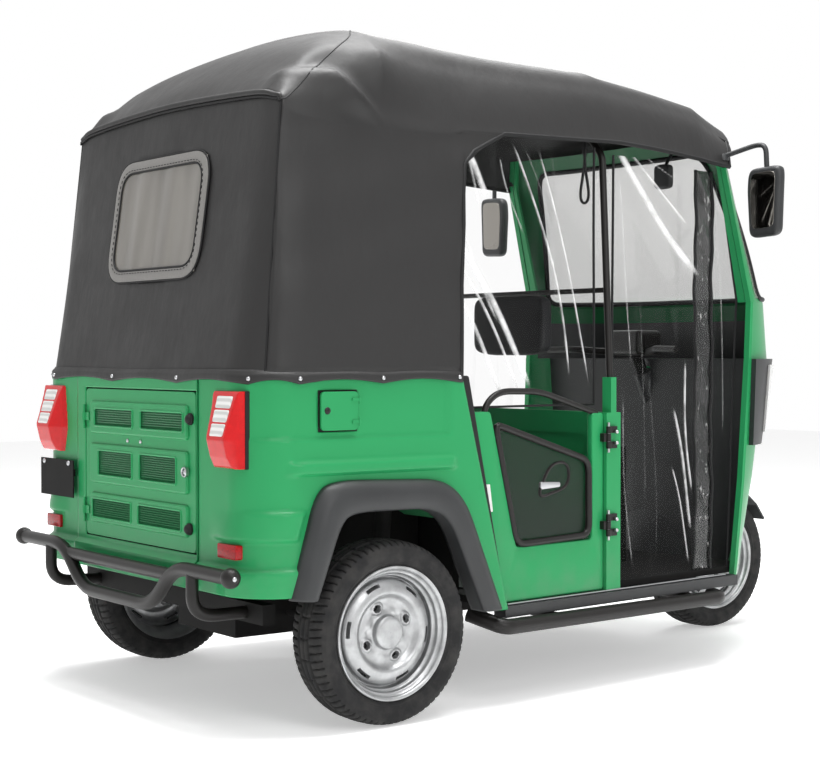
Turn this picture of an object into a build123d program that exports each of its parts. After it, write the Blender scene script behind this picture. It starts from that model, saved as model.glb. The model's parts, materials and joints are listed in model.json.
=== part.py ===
"""Electric auto rickshaw with a fabric canopy, half doors and a louvred rear hatch.

Millimetres. +X forward, +Y to the driver's left, +Z up. Stations along X are measured from the
rear axle; the export at the end moves them so that the origin is under the middle of the box.
"""

import os
from math import cos, pi, radians, sin

from build123d import *

# Running gear
WHEELBASE = 1950
TRACK = 1250
TYRE_RADIUS = 254
TYRE_WIDTH = 145
SPINDLE_RADIUS = 15
SHAFT_GAP = 0.05
STEER_RAKE = 25
COLUMN_RADIUS = 20
HUB_HALF = TRACK / 2
REACH = 2 * WHEELBASE

# Rear tub
REAR_OVERHANG = 510
TUB_REAR = -425
TUB_HALF = 662
TUB_CORNER = 140
TUB_TOP = 950
TUB_LOW = 277
TUB_REAR_LOW = 375
WALL = 22
TUB_FRONT_TOP = 262
TUB_FRONT_LOW = 431
LEDGE_TOP, LEDGE_PROUD = 440, 10
GROOVE_LOW, GROOVE_TOP, GROOVE_DEEP = 782, 796, 5
RIB_LOW, RIB_TOP, RIB_PROUD = 700, 738, 5

# Wheel arch, as (x, z) of the flare's outer and inner edge
ARCH_OUTER = [(-318, 368), (-234, 655), (-160, 676), (185, 664), (262, 604), (394, 285)]
ARCH_INNER = [(-250, 364), (-170, 575), (-120, 594), (128, 592), (200, 552), (319, 285)]
FLARE_STAND = 38
ARCH_SKIN = 14
ARCH_DEPTH = 170

# Rear hatch and the flap over the charging socket
HATCH_RIGHT, HATCH_LEFT = 300 - TUB_HALF, TUB_HALF - 356
HATCH_LOW, HATCH_TOP = 472, 912
HATCH_THICK, HATCH_PROUD, HATCH_GAP = 20, 4, 6
BAND_PROUD, BAND_SIDE, BAND_ROUND = 8, 36, 7
GRILLE_DEEP, LOUVRE_PITCH = 5, 11
REAR_SEAM = HATCH_LEFT + 69
FLAP_REAR, FLAP_FRONT = -220, -101
FLAP_LOW, FLAP_TOP = 812, 916
FLAP_THICK, FLAP_PROUD, FLAP_GAP = 7, 3, 6

# Tapered sides ahead of the tub, as distances u along the side from its start
SIDE_X, SIDE_Y = TUB_FRONT_TOP - 2, TUB_HALF - 7
SIDE_TAPER = radians(4.45)
PARTITION_X = WHEELBASE / 2 - 67
POST_WIDTH, POST_DEPTH, POST_IN = 64, 36, 4
POST_REAR = (PARTITION_X - SIDE_X) / cos(SIDE_TAPER) - POST_WIDTH / 2
POST_FRONT = POST_REAR + POST_WIDTH
STUB_WIDTH, STUB_TOP = 24, 945
PARTITION_TOP = 836
PARTITION_THICK = 20
SILL_LOW, SILL_TOP, SILL_DEPTH, SILL_OUT = 250, 283, 40, 8
FLOOR_LOW, FLOOR_TOP = 285, 305
MAT_THICK = 6

# Half doors
DOOR_LOW, DOOR_TOP, DOOR_REAR_TOP = 290, 836, 850
DOOR_THICK, DOOR_IN = 24, 14
DOOR_FRONT = POST_REAR - 3
STILE_WIDTH = 51
STILE_REAR = DOOR_FRONT - STILE_WIDTH
PANE_THICK = 6
RAIL_RADIUS, RAIL_TOP = 9, 907
FRAME_RADIUS = 11
DOOR_HINGES = (490, 760)
HINGE_U, HINGE_OUT, PIN_RADIUS = POST_REAR, 4, 4
HINGE_LEAF, HINGE_HALF, HINGE_PLAY = 40, 34, 1

# Canopy: hem height, cloth thickness, rear lean, edge of the side panel, eave
HEM = TUB_TOP
HEM_HALF = TUB_HALF - 6
CLOTH = 6
CANOPY_LEAN = 115 / 768
SIDE_EDGE_LOW, SIDE_EDGE_TOP = TUB_FRONT_TOP, TUB_FRONT_TOP + 46
SPLIT = 1600
WINDOW_HALF, WINDOW_LOW, WINDOW_TOP, WINDOW_ROUND = 290, 1232, 1578, 60
ROOF_NOSE = WHEELBASE - 290
ROOF_SIDE_NOSE = WHEELBASE - 532
EAVE_FRONT = WHEELBASE - 476

# Cab front: columns z, rear edge and nose behind the front axle, width lost a side, flat half
CAB_SECTIONS = [
    (280, 437, 236, 117, 85),
    (600, 415, 140, 102, 80),
    (1000, 392, 40, 95, 67),
    (1190, 381, 76, 97, 65),
    (1634, 492, 375, 110, 60),
]
NOSE_CROWN = 0.09
PILLAR_FLAT = 12
COWL_TOP = 1190
PILLAR = 55
SCREEN_HALF = TUB_HALF - 105 - PILLAR
SCREEN_LOW, SCREEN_TOP, SCREEN_EDGE = 1205, 1602, 30
GLASS = 6
SEAL_WIDTH, SEAL_PROUD = 16, 10
LAMP_LOW, LAMP_TOP, LAMP_INNER = 712, 1000, 205
LAMP_PROUD, LENS_PROUD, LENS_EDGE = 20, 28, 20
WHEEL_ROOM = 356
COLUMN_ROOM = 34
FIREWALL_X = WHEELBASE - 310
SHEET = 12

OFFSET_X = (REAR_OVERHANG - WHEELBASE - TYRE_RADIUS) / 2


def block(x0, x1, y0, y1, z0, z1):
    """A box between two corners."""
    return Pos((x0 + x1) / 2, (y0 + y1) / 2, (z0 + z1) / 2) * Box(x1 - x0, y1 - y0, z1 - z0)


def both(shape):
    """A shape and its mirror image across the middle plane."""
    return shape + mirror(shape, about=Plane.XZ)


def polygon(points, radius=0):
    """A flat face from points, all corners rounded by radius if one is given."""
    face = make_face(Polyline(*points, close=True))
    return fillet(face.vertices(), radius) if radius else face


def rectangle(a0, a1, b0, b1):
    """The four corners of a rectangle."""
    return [(a0, b0), (a1, b0), (a1, b1), (a0, b1)]


def across(points, y0, y1, radius=0):
    """An (x, z) outline extruded from y0 to y1."""
    return extrude(Plane.XZ.offset(-y1) * polygon(points, radius), amount=y1 - y0)


def along(points, x0, x1, radius=0):
    """A (y, z) outline extruded from x0 to x1."""
    return extrude(Plane.YZ.offset(x0) * polygon(points, radius), amount=x1 - x0)


def side_plane(out=0):
    """The right-hand side ahead of the tub: local x forward, y up, z outward."""
    forward = (cos(SIDE_TAPER), sin(SIDE_TAPER), 0)
    outward = (sin(SIDE_TAPER), -cos(SIDE_TAPER), 0)
    return Plane(origin=(SIDE_X, -SIDE_Y, 0), x_dir=forward, z_dir=outward).offset(out)


def on_side(points, w0, w1, radius=0):
    """A (u, z) outline on the right-hand side plane, from w0 to w1 outward."""
    return extrude(side_plane(w0) * polygon(points, radius), amount=w1 - w0)


def side_point(u, z, w):
    """A point on the right-hand side plane."""
    x = SIDE_X + u * cos(SIDE_TAPER) + w * sin(SIDE_TAPER)
    y = -SIDE_Y + u * sin(SIDE_TAPER) - w * cos(SIDE_TAPER)
    return (x, y, z)


def side_half(x, w=0):
    """Half the width between the two side planes at station x, moved out by w."""
    return -side_point((x - SIDE_X) / cos(SIDE_TAPER), 0, w)[1]


def tube(points, radius, bend=0):
    """A round bar along points, with bends of one radius."""
    path = FilletPolyline(*points, radius=bend) if bend and len(points) > 2 else Polyline(*points)
    return sweep((path ^ 0) * Circle(radius), path=path)


def rod(start, end, radius):
    """A round bar between two points."""
    line = Line(start, end)
    return sweep((line ^ 0) * Circle(radius), path=line)


def tub_solid(inset, z0, z1):
    """The tub filled, moved in by inset, closed well ahead of its front edge."""
    half, rear = TUB_HALF - inset, TUB_REAR + inset
    face = polygon(rectangle(rear, WHEELBASE / 2, -half, half))
    face = fillet(face.vertices().sort_by(Axis.X)[:2], TUB_CORNER - inset)
    return extrude(Pos(0, 0, z0) * face, amount=z1 - z0)


# Tub panels
def tub_front_cut():
    """Everything ahead of the tub's slanted front edge."""
    lean = (TUB_FRONT_LOW - TUB_FRONT_TOP) / (TUB_TOP - TUB_LOW)
    over = TUB_LOW / 4
    high, low = TUB_FRONT_TOP - over * lean, TUB_FRONT_LOW + over * lean
    outline = [(high, TUB_TOP + over), (low, TUB_LOW - over), (REACH, TUB_LOW - over), (REACH, TUB_TOP + over)]
    return across(outline, -REACH, REACH)


def tub_shell():
    """The painted tub: walls, rear ledge, side groove and side rib, less the wheel arches."""
    inner = tub_solid(WALL, TUB_LOW - 1, TUB_TOP + 1)
    body = tub_solid(0, TUB_LOW, TUB_TOP)
    ledge = tub_solid(-LEDGE_PROUD, TUB_REAR_LOW, LEDGE_TOP)
    body += ledge & block(-REACH, ARCH_OUTER[0][0] - LEDGE_PROUD, -REACH, REACH, 0, LEDGE_TOP)
    straight, front = TUB_REAR + TUB_CORNER, TUB_FRONT_TOP - WALL
    body += both(block(straight, front, -TUB_HALF - RIB_PROUD, -TUB_HALF + 1, RIB_LOW, RIB_TOP))
    body -= both(block(straight, front, -REACH, -TUB_HALF + GROOVE_DEEP, GROOVE_LOW, GROOVE_TOP))
    body -= inner
    body -= tub_front_cut()
    body -= block(-REACH, ARCH_INNER[1][0], -REACH, REACH, 0, TUB_REAR_LOW)
    low_arch = [(ARCH_INNER[0][0] - WALL, 0)] + ARCH_INNER + [(ARCH_INNER[-1][0] + WALL, 0)]
    return body - across(low_arch, -REACH, REACH)


shell = tub_shell()
rear_slab = block(-REACH, TUB_REAR + TUB_CORNER, -REAR_SEAM, REAR_SEAM, 0, REACH)
hatch_hole = rectangle(HATCH_RIGHT - HATCH_GAP, HATCH_LEFT + HATCH_GAP, HATCH_LOW - HATCH_GAP, HATCH_TOP + HATCH_GAP)
rear_panel = (shell & rear_slab) - along(hatch_hole, TUB_REAR - WALL, TUB_REAR + 2 * WALL)
flap_hole = rectangle(FLAP_REAR - FLAP_GAP, FLAP_FRONT + FLAP_GAP, FLAP_LOW - FLAP_GAP, FLAP_TOP + FLAP_GAP)
quarter_panels = shell - rear_slab - across(flap_hole, -TUB_HALF - WALL, -TUB_HALF + WALL / 2)
flap_face = rectangle(FLAP_REAR, FLAP_FRONT, FLAP_LOW, FLAP_TOP)
charge_flap = across(flap_face, -TUB_HALF - FLAP_PROUD, -TUB_HALF - FLAP_PROUD + FLAP_THICK, 2 * FLAP_GAP)

# Hatch with three raised bands: columns z of the band, then z of its two louvred windows and their
# y as shares of the hatch's width from its right edge
BANDS = [
    (779, 876, 801, 855, ((0.085, 0.457), (0.530, 0.895))),
    (630, 749, 654, 730, ((0.142, 0.467), (0.536, 0.858))),
    (511, 601, 526, 584, ((0.100, 0.482), (0.546, 0.919))),
]
hatch_width = HATCH_LEFT - HATCH_RIGHT
hatch_face = TUB_REAR - HATCH_PROUD
band_face = hatch_face - BAND_PROUD
hatch = along(rectangle(HATCH_RIGHT, HATCH_LEFT, HATCH_LOW, HATCH_TOP), hatch_face, hatch_face + HATCH_THICK, 14)
hatch_grilles = Part()
for band_low, band_top, low, top, windows in BANDS:
    outline = rectangle(HATCH_RIGHT + BAND_SIDE, HATCH_LEFT - BAND_SIDE, band_low, band_top)
    band = along(outline, band_face, hatch_face, 2 * BAND_ROUND)
    hatch += fillet(band.faces().sort_by(Axis.X)[0].edges(), BAND_ROUND)
    for start, end in windows:
        y0, y1 = (HATCH_RIGHT + share * hatch_width for share in (start, end))
        hatch -= block(band_face - 1, band_face + GRILLE_DEEP, y0, y1, low, top)
        grille = block(band_face + GRILLE_DEEP - 1, band_face + GRILLE_DEEP, y0, y1, low, top)
        for k in range(int((top - low) / LOUVRE_PITCH)):
            z = low + (k + 0.5) * LOUVRE_PITCH
            slat = [(0, 4), (1 - GRILLE_DEEP, -3), (1 - GRILLE_DEEP, -4), (0, 0)]
            grille += across([(band_face + GRILLE_DEEP - 1 + x, z + dz) for x, dz in slat], y0, y1)
        hatch_grilles += grille


def knuckle(axis, tip_radius, pin_radius):
    """Two outer barrels bored for a pin, the middle barrel and the pin along six points."""
    pin = rod(axis[0], axis[5], pin_radius)
    bore = rod(axis[0], axis[5], pin_radius + SHAFT_GAP)
    ears = [rod(axis[0], axis[1], tip_radius) - bore, rod(axis[4], axis[5], tip_radius) - bore]
    return ears, rod(axis[2], axis[3], tip_radius) + pin, bore


HATCH_KNUCKLE, HATCH_HINGE_HEIGHTS = 7, (545, 828)
hatch_hinge_x, hatch_hinge_y = hatch_face - 6, HATCH_LEFT + HATCH_GAP - 2
for z in HATCH_HINGE_HEIGHTS:
    axis = [(hatch_hinge_x, hatch_hinge_y, z + d) for d in (-36, -13, -12, 12, 13, 36)]
    ears, barrel, bore = knuckle(axis, HATCH_KNUCKLE, PIN_RADIUS)
    hatch += barrel + block(hatch_hinge_x, hatch_face, HATCH_LEFT - 26, HATCH_LEFT, z - 12, z + 12)
    for ear, low, high in ((ears[0], axis[0][2], axis[1][2]), (ears[1], axis[4][2], axis[5][2])):
        leaf = block(hatch_hinge_x, TUB_REAR, hatch_hinge_y + 3, hatch_hinge_y + 36, low, high)
        rear_panel += ear + (leaf - bore)
FLAP_KNUCKLE, FLAP_PIN, FLAP_HINGE_HEIGHTS = 3.5, 1.8, (834, 894)
flap_axis_x, flap_axis_y = FLAP_FRONT + 4, -TUB_HALF - 4
for z in FLAP_HINGE_HEIGHTS:
    axis = [(flap_axis_x, flap_axis_y, z + d) for d in (-12, -5, -4, 4, 5, 12)]
    ears, barrel, bore = knuckle(axis, FLAP_KNUCKLE, FLAP_PIN)
    charge_flap += barrel
    charge_flap += block(FLAP_FRONT - 20, flap_axis_x, flap_axis_y - 2, -TUB_HALF - 1, z - 4, z + 4)
    for ear, low, high in ((ears[0], axis[0][2], axis[1][2]), (ears[1], axis[4][2], axis[5][2])):
        leaf = block(flap_axis_x + 2, flap_axis_x + 20, flap_axis_y - 1, -TUB_HALF, low, high)
        quarter_panels += ear + (leaf - bore)

# Wheel arches
flare = across(ARCH_OUTER, -TUB_HALF - FLARE_STAND, -TUB_HALF)
flare_hole = [(ARCH_INNER[0][0] - 2, 300)] + ARCH_INNER + [(ARCH_INNER[-1][0] + 2, 200)]
arch_flares = both(flare - across(flare_hole, -REACH, 0))
crown_line = ARCH_INNER[1:-1]
skin = [(x, z + ARCH_SKIN) for x, z in crown_line] + list(reversed(crown_line))
inner_arches = both(across(skin, WALL - TUB_HALF, WALL - TUB_HALF + ARCH_DEPTH))

# Tail lamps, reflectors, plate: y measured inwards from the tub's side
LAMP_PROFILE = [(0, 714), (-36, 716), (-50, 790), (-4, 918), (0, 918)]
lamp_depth = TUB_CORNER
profile = [(TUB_REAR + x, z) for x, z in LAMP_PROFILE]
profile = [(TUB_REAR + lamp_depth, 714)] + profile[1:-1] + [(TUB_REAR + lamp_depth, 918)]
lamp_outer, lamp_inner = 56 - TUB_HALF, 228 - TUB_HALF
lamp_face = [(lamp_outer, 714), (lamp_inner - 20, 714), (lamp_inner, 790), (lamp_inner - 18, 918), (lamp_outer, 918)]
lamp = across(profile, lamp_outer, lamp_inner) & along(lamp_face, TUB_REAR - TUB_CORNER, TUB_REAR + lamp_depth, 12)
lamp_side = [(TUB_REAR - 60, lamp_outer + 56), (TUB_REAR + 40, lamp_outer), (TUB_REAR + lamp_depth, lamp_outer)]
lamp_plan = lamp_side + [(TUB_REAR + lamp_depth, lamp_inner), (TUB_REAR - 60, lamp_inner)]
lamp &= extrude(polygon(lamp_plan), amount=TUB_TOP)
tail_lamps = both(lamp - tub_solid(0, TUB_LOW, TUB_TOP))
reflectors = both(block(TUB_REAR - 10, TUB_REAR, 94 - TUB_HALF, 202 - TUB_HALF, 470, 516))
reflectors -= tub_solid(0, TUB_LOW, TUB_TOP)
PLATE_OUT, PLATE_THICK = 18, 4
plate_rear = TUB_REAR - PLATE_OUT
number_plate = block(plate_rear - PLATE_THICK, plate_rear, TUB_HALF - 297, TUB_HALF - 67, 575, 690)
for y in (TUB_HALF - 270, TUB_HALF - 180):
    number_plate += block(plate_rear, TUB_REAR, y, y + 20, 640, 660)

# Rear bumper: a bent tube with ball ends, a straight cross tube and two stays
BUMPER_X = TUB_REAR - 60
BUMPER_TUBE, BUMPER_STAY, BUMPER_BALL = 19, 17, 25
BUMPER_TOP, BUMPER_DIP = 438, 318
bumper_end = TUB_HALF - 22
bar = [(bumper_end, BUMPER_TOP), (335, BUMPER_TOP), (215, BUMPER_DIP)]
bar = [(BUMPER_X, y, z) for y, z in bar + [(-y, z) for y, z in reversed(bar)]]
rear_bumper = tube(bar, BUMPER_TUBE, 50)
rear_bumper += rod((BUMPER_X, -335, BUMPER_TOP), (BUMPER_X, 335, BUMPER_TOP), BUMPER_TUBE)
for side in (-1, 1):
    rear_bumper += Pos(BUMPER_X, side * bumper_end, BUMPER_TOP) * Sphere(BUMPER_BALL)
    stay_y = side * (TUB_HALF - 222)
    stay = [(BUMPER_X, stay_y, BUMPER_TOP), (BUMPER_X, stay_y, 315), (-320, stay_y, 315)]
    rear_bumper += tube(stay, BUMPER_STAY, 60)

# Chassis
RAIL_Y, RAIL_WIDTH, RAIL_LOW, REAR_RAIL_TOP = 290, 40, 225, 340
RAIL_KICK, rail_front = 390, WHEELBASE - 390
rail_outer = -RAIL_Y - RAIL_WIDTH
rail = block(RAIL_KICK - 60, rail_front, rail_outer, -RAIL_Y, RAIL_LOW, FLOOR_LOW)
chassis_rails = both(rail + block(-280, RAIL_KICK, rail_outer, -RAIL_Y, FLOOR_LOW, REAR_RAIL_TOP))
chassis_cross = block(-320, -280, 132 - TUB_HALF, TUB_HALF - 132, FLOOR_LOW, REAR_RAIL_TOP)
for x in (470, PARTITION_X, rail_front - RAIL_WIDTH):
    chassis_cross += block(x, x + RAIL_WIDTH, -RAIL_Y, RAIL_Y, RAIL_LOW, FLOOR_LOW)

# Floor, sills, posts
floor_front = FIREWALL_X + SHEET
floor_rear_half, floor_front_half = (side_half(x, -SILL_DEPTH) for x in (RAIL_KICK, floor_front))
floor_plan = [(RAIL_KICK, -floor_rear_half), (floor_front, -floor_front_half)]
floor_plan += [(x, -y) for x, y in reversed(floor_plan)]
floor_pan = extrude(Pos(0, 0, FLOOR_LOW) * polygon(floor_plan), amount=FLOOR_TOP - FLOOR_LOW)
sill_rear = (TUB_FRONT_LOW - SIDE_X) / cos(SIDE_TAPER)
sill_front = (WHEELBASE - CAB_SECTIONS[0][1] - SIDE_X) / cos(SIDE_TAPER) - 5
sills = both(on_side(rectangle(sill_rear, sill_front, SILL_LOW, SILL_TOP), -SILL_DEPTH, SILL_OUT))
post_inner = -POST_IN - POST_DEPTH
post = on_side(rectangle(POST_REAR, POST_FRONT, SILL_TOP, PARTITION_TOP), post_inner, -POST_IN)
stub_rear = (POST_REAR + POST_FRONT - STUB_WIDTH) / 2
stub = rectangle(stub_rear, stub_rear + STUB_WIDTH, PARTITION_TOP - 1, STUB_TOP)
post += on_side(stub, post_inner, -POST_IN)
b_posts = both(post)

# Side step bars
STEP_RADIUS, STEP_OUT, STEP_HEIGHT = 23, 26, 225
step_front = sill_front - 120
step_path = [(95, 262, -70), (150, STEP_HEIGHT + 3, STEP_OUT), (step_front, STEP_HEIGHT - 3, STEP_OUT)]
step_path += [(step_front + 80, STEP_HEIGHT - 11, -70)]
step = tube([side_point(u, z, w) for u, z, w in step_path], STEP_RADIUS, 45)
for x in (640, WHEELBASE - 700):
    stay_z = STEP_HEIGHT + 11
    step += rod((x, -side_half(x, STEP_OUT), stay_z), (x, rail_outer, stay_z), 12)
side_steps = both(step)

# Partition behind the driver, with a pressed panel
partition_half = side_half(PARTITION_X, post_inner) + 8
partition_rear = PARTITION_X - PARTITION_THICK / 2
partition = block(partition_rear, partition_rear + PARTITION_THICK, -partition_half, partition_half, FLOOR_TOP, PARTITION_TOP)
press = rectangle(-partition_half + 90, partition_half - 90, FLOOR_TOP + 90, PARTITION_TOP - 70)
partition -= along(press, partition_rear - 1, partition_rear + PARTITION_THICK / 4, 30)
partition -= b_posts
mat_plan = rectangle(RAIL_KICK + 70, partition_rear - 30, -450, 450)
floor_mat = extrude(Pos(0, 0, FLOOR_TOP) * polygon(mat_plan, 30), amount=MAT_THICK)

# Half doors: a pressed skin round a clear pane, a bent tube frame inside it and a top rail
SKIN_LOW, PANE_TOP_REAR, PANE_TOP_FRONT = 450, 812, 684
door_outline = [(185, DOOR_LOW), (DOOR_FRONT, DOOR_LOW), (DOOR_FRONT, DOOR_TOP), (STILE_REAR, DOOR_TOP)]
door_outline += [(STILE_REAR, SKIN_LOW), (238, SKIN_LOW), (143, PANE_TOP_REAR), (133, DOOR_REAR_TOP), (90, DOOR_REAR_TOP)]
door_inner = -DOOR_IN - DOOR_THICK
door = on_side(door_outline, door_inner, -DOOR_IN)
rail_path = [(118, DOOR_REAR_TOP + 1), (168, RAIL_TOP), (342, RAIL_TOP), (STILE_REAR + 24, DOOR_TOP + 2)]
rail = tube([side_point(u, z, -DOOR_IN - DOOR_THICK / 2) for u, z in rail_path], RAIL_RADIUS, 28)
frame_path = [(150, PANE_TOP_REAR - 20), (STILE_REAR + 6, PANE_TOP_FRONT)]
frame_path += [(STILE_REAR + 6, SKIN_LOW - 8), (232, SKIN_LOW - 8)]
rail += tube([side_point(u, z, door_inner - FRAME_RADIUS + 2) for u, z in frame_path], FRAME_RADIUS, 40)
pane_mid = -DOOR_IN - DOOR_THICK / 2
pane_outline = [(143, PANE_TOP_REAR), (STILE_REAR, PANE_TOP_FRONT), (STILE_REAR, SKIN_LOW), (238, SKIN_LOW)]
pane = on_side(pane_outline, pane_mid - PANE_THICK / 2, pane_mid + PANE_THICK / 2)
HINGE_KNUCKLE = 8
post_hinges = Part()
for z in DOOR_HINGES:
    offsets = (-HINGE_HALF, -12 - HINGE_PLAY, -12, 12, 12 + HINGE_PLAY, HINGE_HALF)
    axis = [side_point(HINGE_U, z + d, HINGE_OUT) for d in offsets]
    ears, barrel, bore = knuckle(axis, HINGE_KNUCKLE, PIN_RADIUS)
    rail += on_side(rectangle(DOOR_FRONT - HINGE_LEAF, DOOR_FRONT, z - 12, z + 12), -DOOR_IN, HINGE_OUT) + barrel
    for ear, low, high in ((ears[0], offsets[0], offsets[1]), (ears[1], offsets[4], offsets[5])):
        leaf = on_side(rectangle(HINGE_U, HINGE_U + HINGE_LEAF, z + low, z + high), -POST_IN, HINGE_OUT)
        post_hinges += ear + (leaf - bore)
rail -= door
post_hinges = both(post_hinges - post)
seal_outline = [(0, DOOR_REAR_TOP), (82, DOOR_REAR_TOP), (177, DOOR_LOW), (120, DOOR_LOW)]
seal = on_side(seal_outline, -WALL - DOOR_IN, 2)
door_seals = both((seal & tub_front_cut()) - quarter_panels)

# Canopy bows: columns x, then (inset from the tub's side, z) of eave, shoulder, shoulder top, crown z
CANOPY_REAR_CAP = [
    (-450, (55, 1606), (60, 1635), (102, 1636), 1672),
    (100, (62, 1660), (107, 1846), (222, 1938), 1972),
]
CANOPY_ROOF = [
    (100, (62, 1660), (107, 1846), (222, 1938), 1972),
    (380, (66, 1668), (110, 1830), (226, 1918), 1952),
    (PARTITION_X, (78, 1680), (124, 1822), (237, 1899), 1933),
    (WHEELBASE - 470, (101, 1655), (136, 1772), (257, 1845), 1880),
    (WHEELBASE - 250, (122, 1640), (162, 1712), (272, 1765), 1795),
]


def canopy_section(row, inset):
    """One bow of the canopy, hem to hem, as a face across X."""
    x, eave, shoulder, top, crown = row
    slope = inset * 0.7
    hem_y, hem_z = HEM_HALF - inset, HEM - (WALL if inset else 0)
    ey, ez = TUB_HALF - eave[0] - inset, eave[1] - slope * 0.3
    sy, sz = TUB_HALF - shoulder[0] - slope, shoulder[1] - slope
    ty, tz = TUB_HALF - top[0] - slope * 0.4, top[1] - inset
    edges = [
        Line((-hem_y, hem_z), (-ey, ez)),
        ThreePointArc((-ey, ez), (-sy, sz), (-ty, tz)),
        ThreePointArc((-ty, tz), (0, crown - inset), (ty, tz)),
        ThreePointArc((ty, tz), (sy, sz), (ey, ez)),
        Line((ey, ez), (hem_y, hem_z)),
        Line((hem_y, hem_z), (-hem_y, hem_z)),
    ]
    return Plane.YZ.offset(x) * make_face(edges)


# Plan of the canopy: columns z, rounding of the rear corners
CANOPY_PLAN = [(HEM - 30, 150), (HEM + 1100, 90)]


def canopy_body(inset):
    """The canopy as a filled form, its rear leaning and its rear and front rounded in plan."""
    cap = loft([canopy_section(row, inset) for row in CANOPY_REAR_CAP], ruled=True)
    roof = loft([canopy_section(row, inset) for row in CANOPY_ROOF], ruled=True)
    levels = []
    for z, corner in CANOPY_PLAN:
        rear, half, bend = TUB_REAR + (z - HEM) * CANOPY_LEAN + inset, HEM_HALF - inset, corner - inset
        side, nose = ROOF_SIDE_NOSE - inset, ROOF_NOSE - inset
        edges = [
            Line((side, half), (rear + bend, half)),
            RadiusArc((rear + bend, half), (rear, half - bend), -bend),
            Line((rear, half - bend), (rear, bend - half)),
            RadiusArc((rear, bend - half), (rear + bend, -half), -bend),
            Line((rear + bend, -half), (side, -half)),
            ThreePointArc((side, -half), (nose, 0), (side, half)),
        ]
        levels.append(Pos(0, 0, z) * make_face(edges))
    return (cap + roof) & loft(levels, ruled=True)


canopy_outer = canopy_body(0)
canopy = canopy_outer - canopy_body(CLOTH)
opening = [(SIDE_EDGE_LOW, HEM - 150), (SIDE_EDGE_LOW, HEM), (SIDE_EDGE_TOP, 1560), (SIDE_EDGE_TOP + 40, SPLIT)]
opening += [(470, 1664), (PARTITION_X, 1672), (EAVE_FRONT, 1648), (REACH, 1640), (REACH, HEM - 150)]
canopy -= across(opening, -REACH, REACH)
canopy_roof = canopy & block(-REACH, REACH, -REACH, REACH, SPLIT, REACH)
lower = canopy & block(-REACH, PARTITION_X, -REACH, REACH, HEM, SPLIT)
rear_part = block(-REACH, TUB_REAR + 275, 142 - TUB_HALF, TUB_HALF - 142, 0, REACH)
canopy_rear = lower & rear_part
canopy_sides = lower - rear_part
window = along(rectangle(-WINDOW_HALF, WINDOW_HALF, WINDOW_LOW, WINDOW_TOP), -REACH, 0, WINDOW_ROUND)
rear_window = canopy_rear & window
canopy_rear -= window

# Canopy hoops: columns x, foot height, inset of the feet from the tub's side, height of the top
HOOP_RADIUS, HOOP_LEAN, HOOP_SHOULDER = 11, 36, 1630
post_inset = TUB_HALF - side_half(PARTITION_X, post_inner + POST_DEPTH / 2)
HOOPS = [(-250, 900, 44, 1740), (110, 900, 44, 1908), (PARTITION_X, STUB_TOP - 5, post_inset, 1872)]
canopy_frame = Part()
for x, foot, inset, top in HOOPS:
    half = TUB_HALF - inset
    right = [(x, -half, foot), (x, HOOP_LEAN - half, HOOP_SHOULDER), (x, 330 - TUB_HALF, top)]
    canopy_frame += tube(right + [(x, -y, z) for x, y, z in reversed(right)], HOOP_RADIUS, 60)
    if foot < TUB_TOP - 40:
        canopy_frame += both(block(x - 20, x + 20, WALL - TUB_HALF, 4 - half, foot, foot + 40))
BAR_HEIGHT = 1215
bar_lean = HOOP_LEAN * (BAR_HEIGHT - STUB_TOP) / (HOOP_SHOULDER - STUB_TOP)
bar_half = TUB_HALF - post_inset - bar_lean
canopy_frame += rod((PARTITION_X, -bar_half, BAR_HEIGHT), (PARTITION_X, bar_half, BAR_HEIGHT), 8)
canopy_frame -= b_posts


# Cab front
def cab_form(inset, over=0):
    """The cab front as a filled form, moved in by inset; with over it runs out past its open ends."""
    faces = []
    for z, rear, nose, lost, flat in CAB_SECTIONS:
        z += {CAB_SECTIONS[0][0]: -over, CAB_SECTIONS[-1][0]: over}.get(z, 0)
        back = WHEELBASE - rear - 10 * over
        start, front, half = WHEELBASE - rear + PILLAR_FLAT, WHEELBASE - nose - inset, TUB_HALF - lost - inset
        shoulder, k = front - flat * NOSE_CROWN, cos(pi / 4)
        mid_x, mid_y = start + (shoulder - start) * k, half - (half - flat) * (1 - k)
        edges = [
            Line((back, -half), (start, -half)),
            ThreePointArc((start, -half), (mid_x, -mid_y), (shoulder, -flat)),
            ThreePointArc((shoulder, -flat), (front, 0), (shoulder, flat)),
            ThreePointArc((shoulder, flat), (mid_x, mid_y), (start, half)),
            Line((start, half), (back, half)),
            Line((back, half), (back, -half)),
        ]
        faces.append(Pos(0, 0, z) * make_face(edges))
    return loft(faces, ruled=True)


def pillar_x(z):
    """Station of the screen pillar's rear edge at height z."""
    (z0, rear0, *_), (z1, rear1, *_) = CAB_SECTIONS[-2:]
    return WHEELBASE - rear0 - (rear1 - rear0) * (z - z0) / (z1 - z0)


def on_steer(d):
    """A point on the steering axis, d above the front wheel's centre."""
    return (WHEELBASE - d * sin(radians(STEER_RAKE)), 0, TYRE_RADIUS + d * cos(radians(STEER_RAKE)))


def screen_area(edge, grow):
    """Everything inside the windscreen's border in the side view, the border moved out by grow."""
    low, top = SCREEN_LOW - grow, SCREEN_TOP + grow
    rear_low, rear_top = pillar_x(low) + edge, pillar_x(top) + edge
    return across([(rear_low, low), (REACH, low), (REACH, top), (rear_top, top)], -REACH, REACH)


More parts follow.
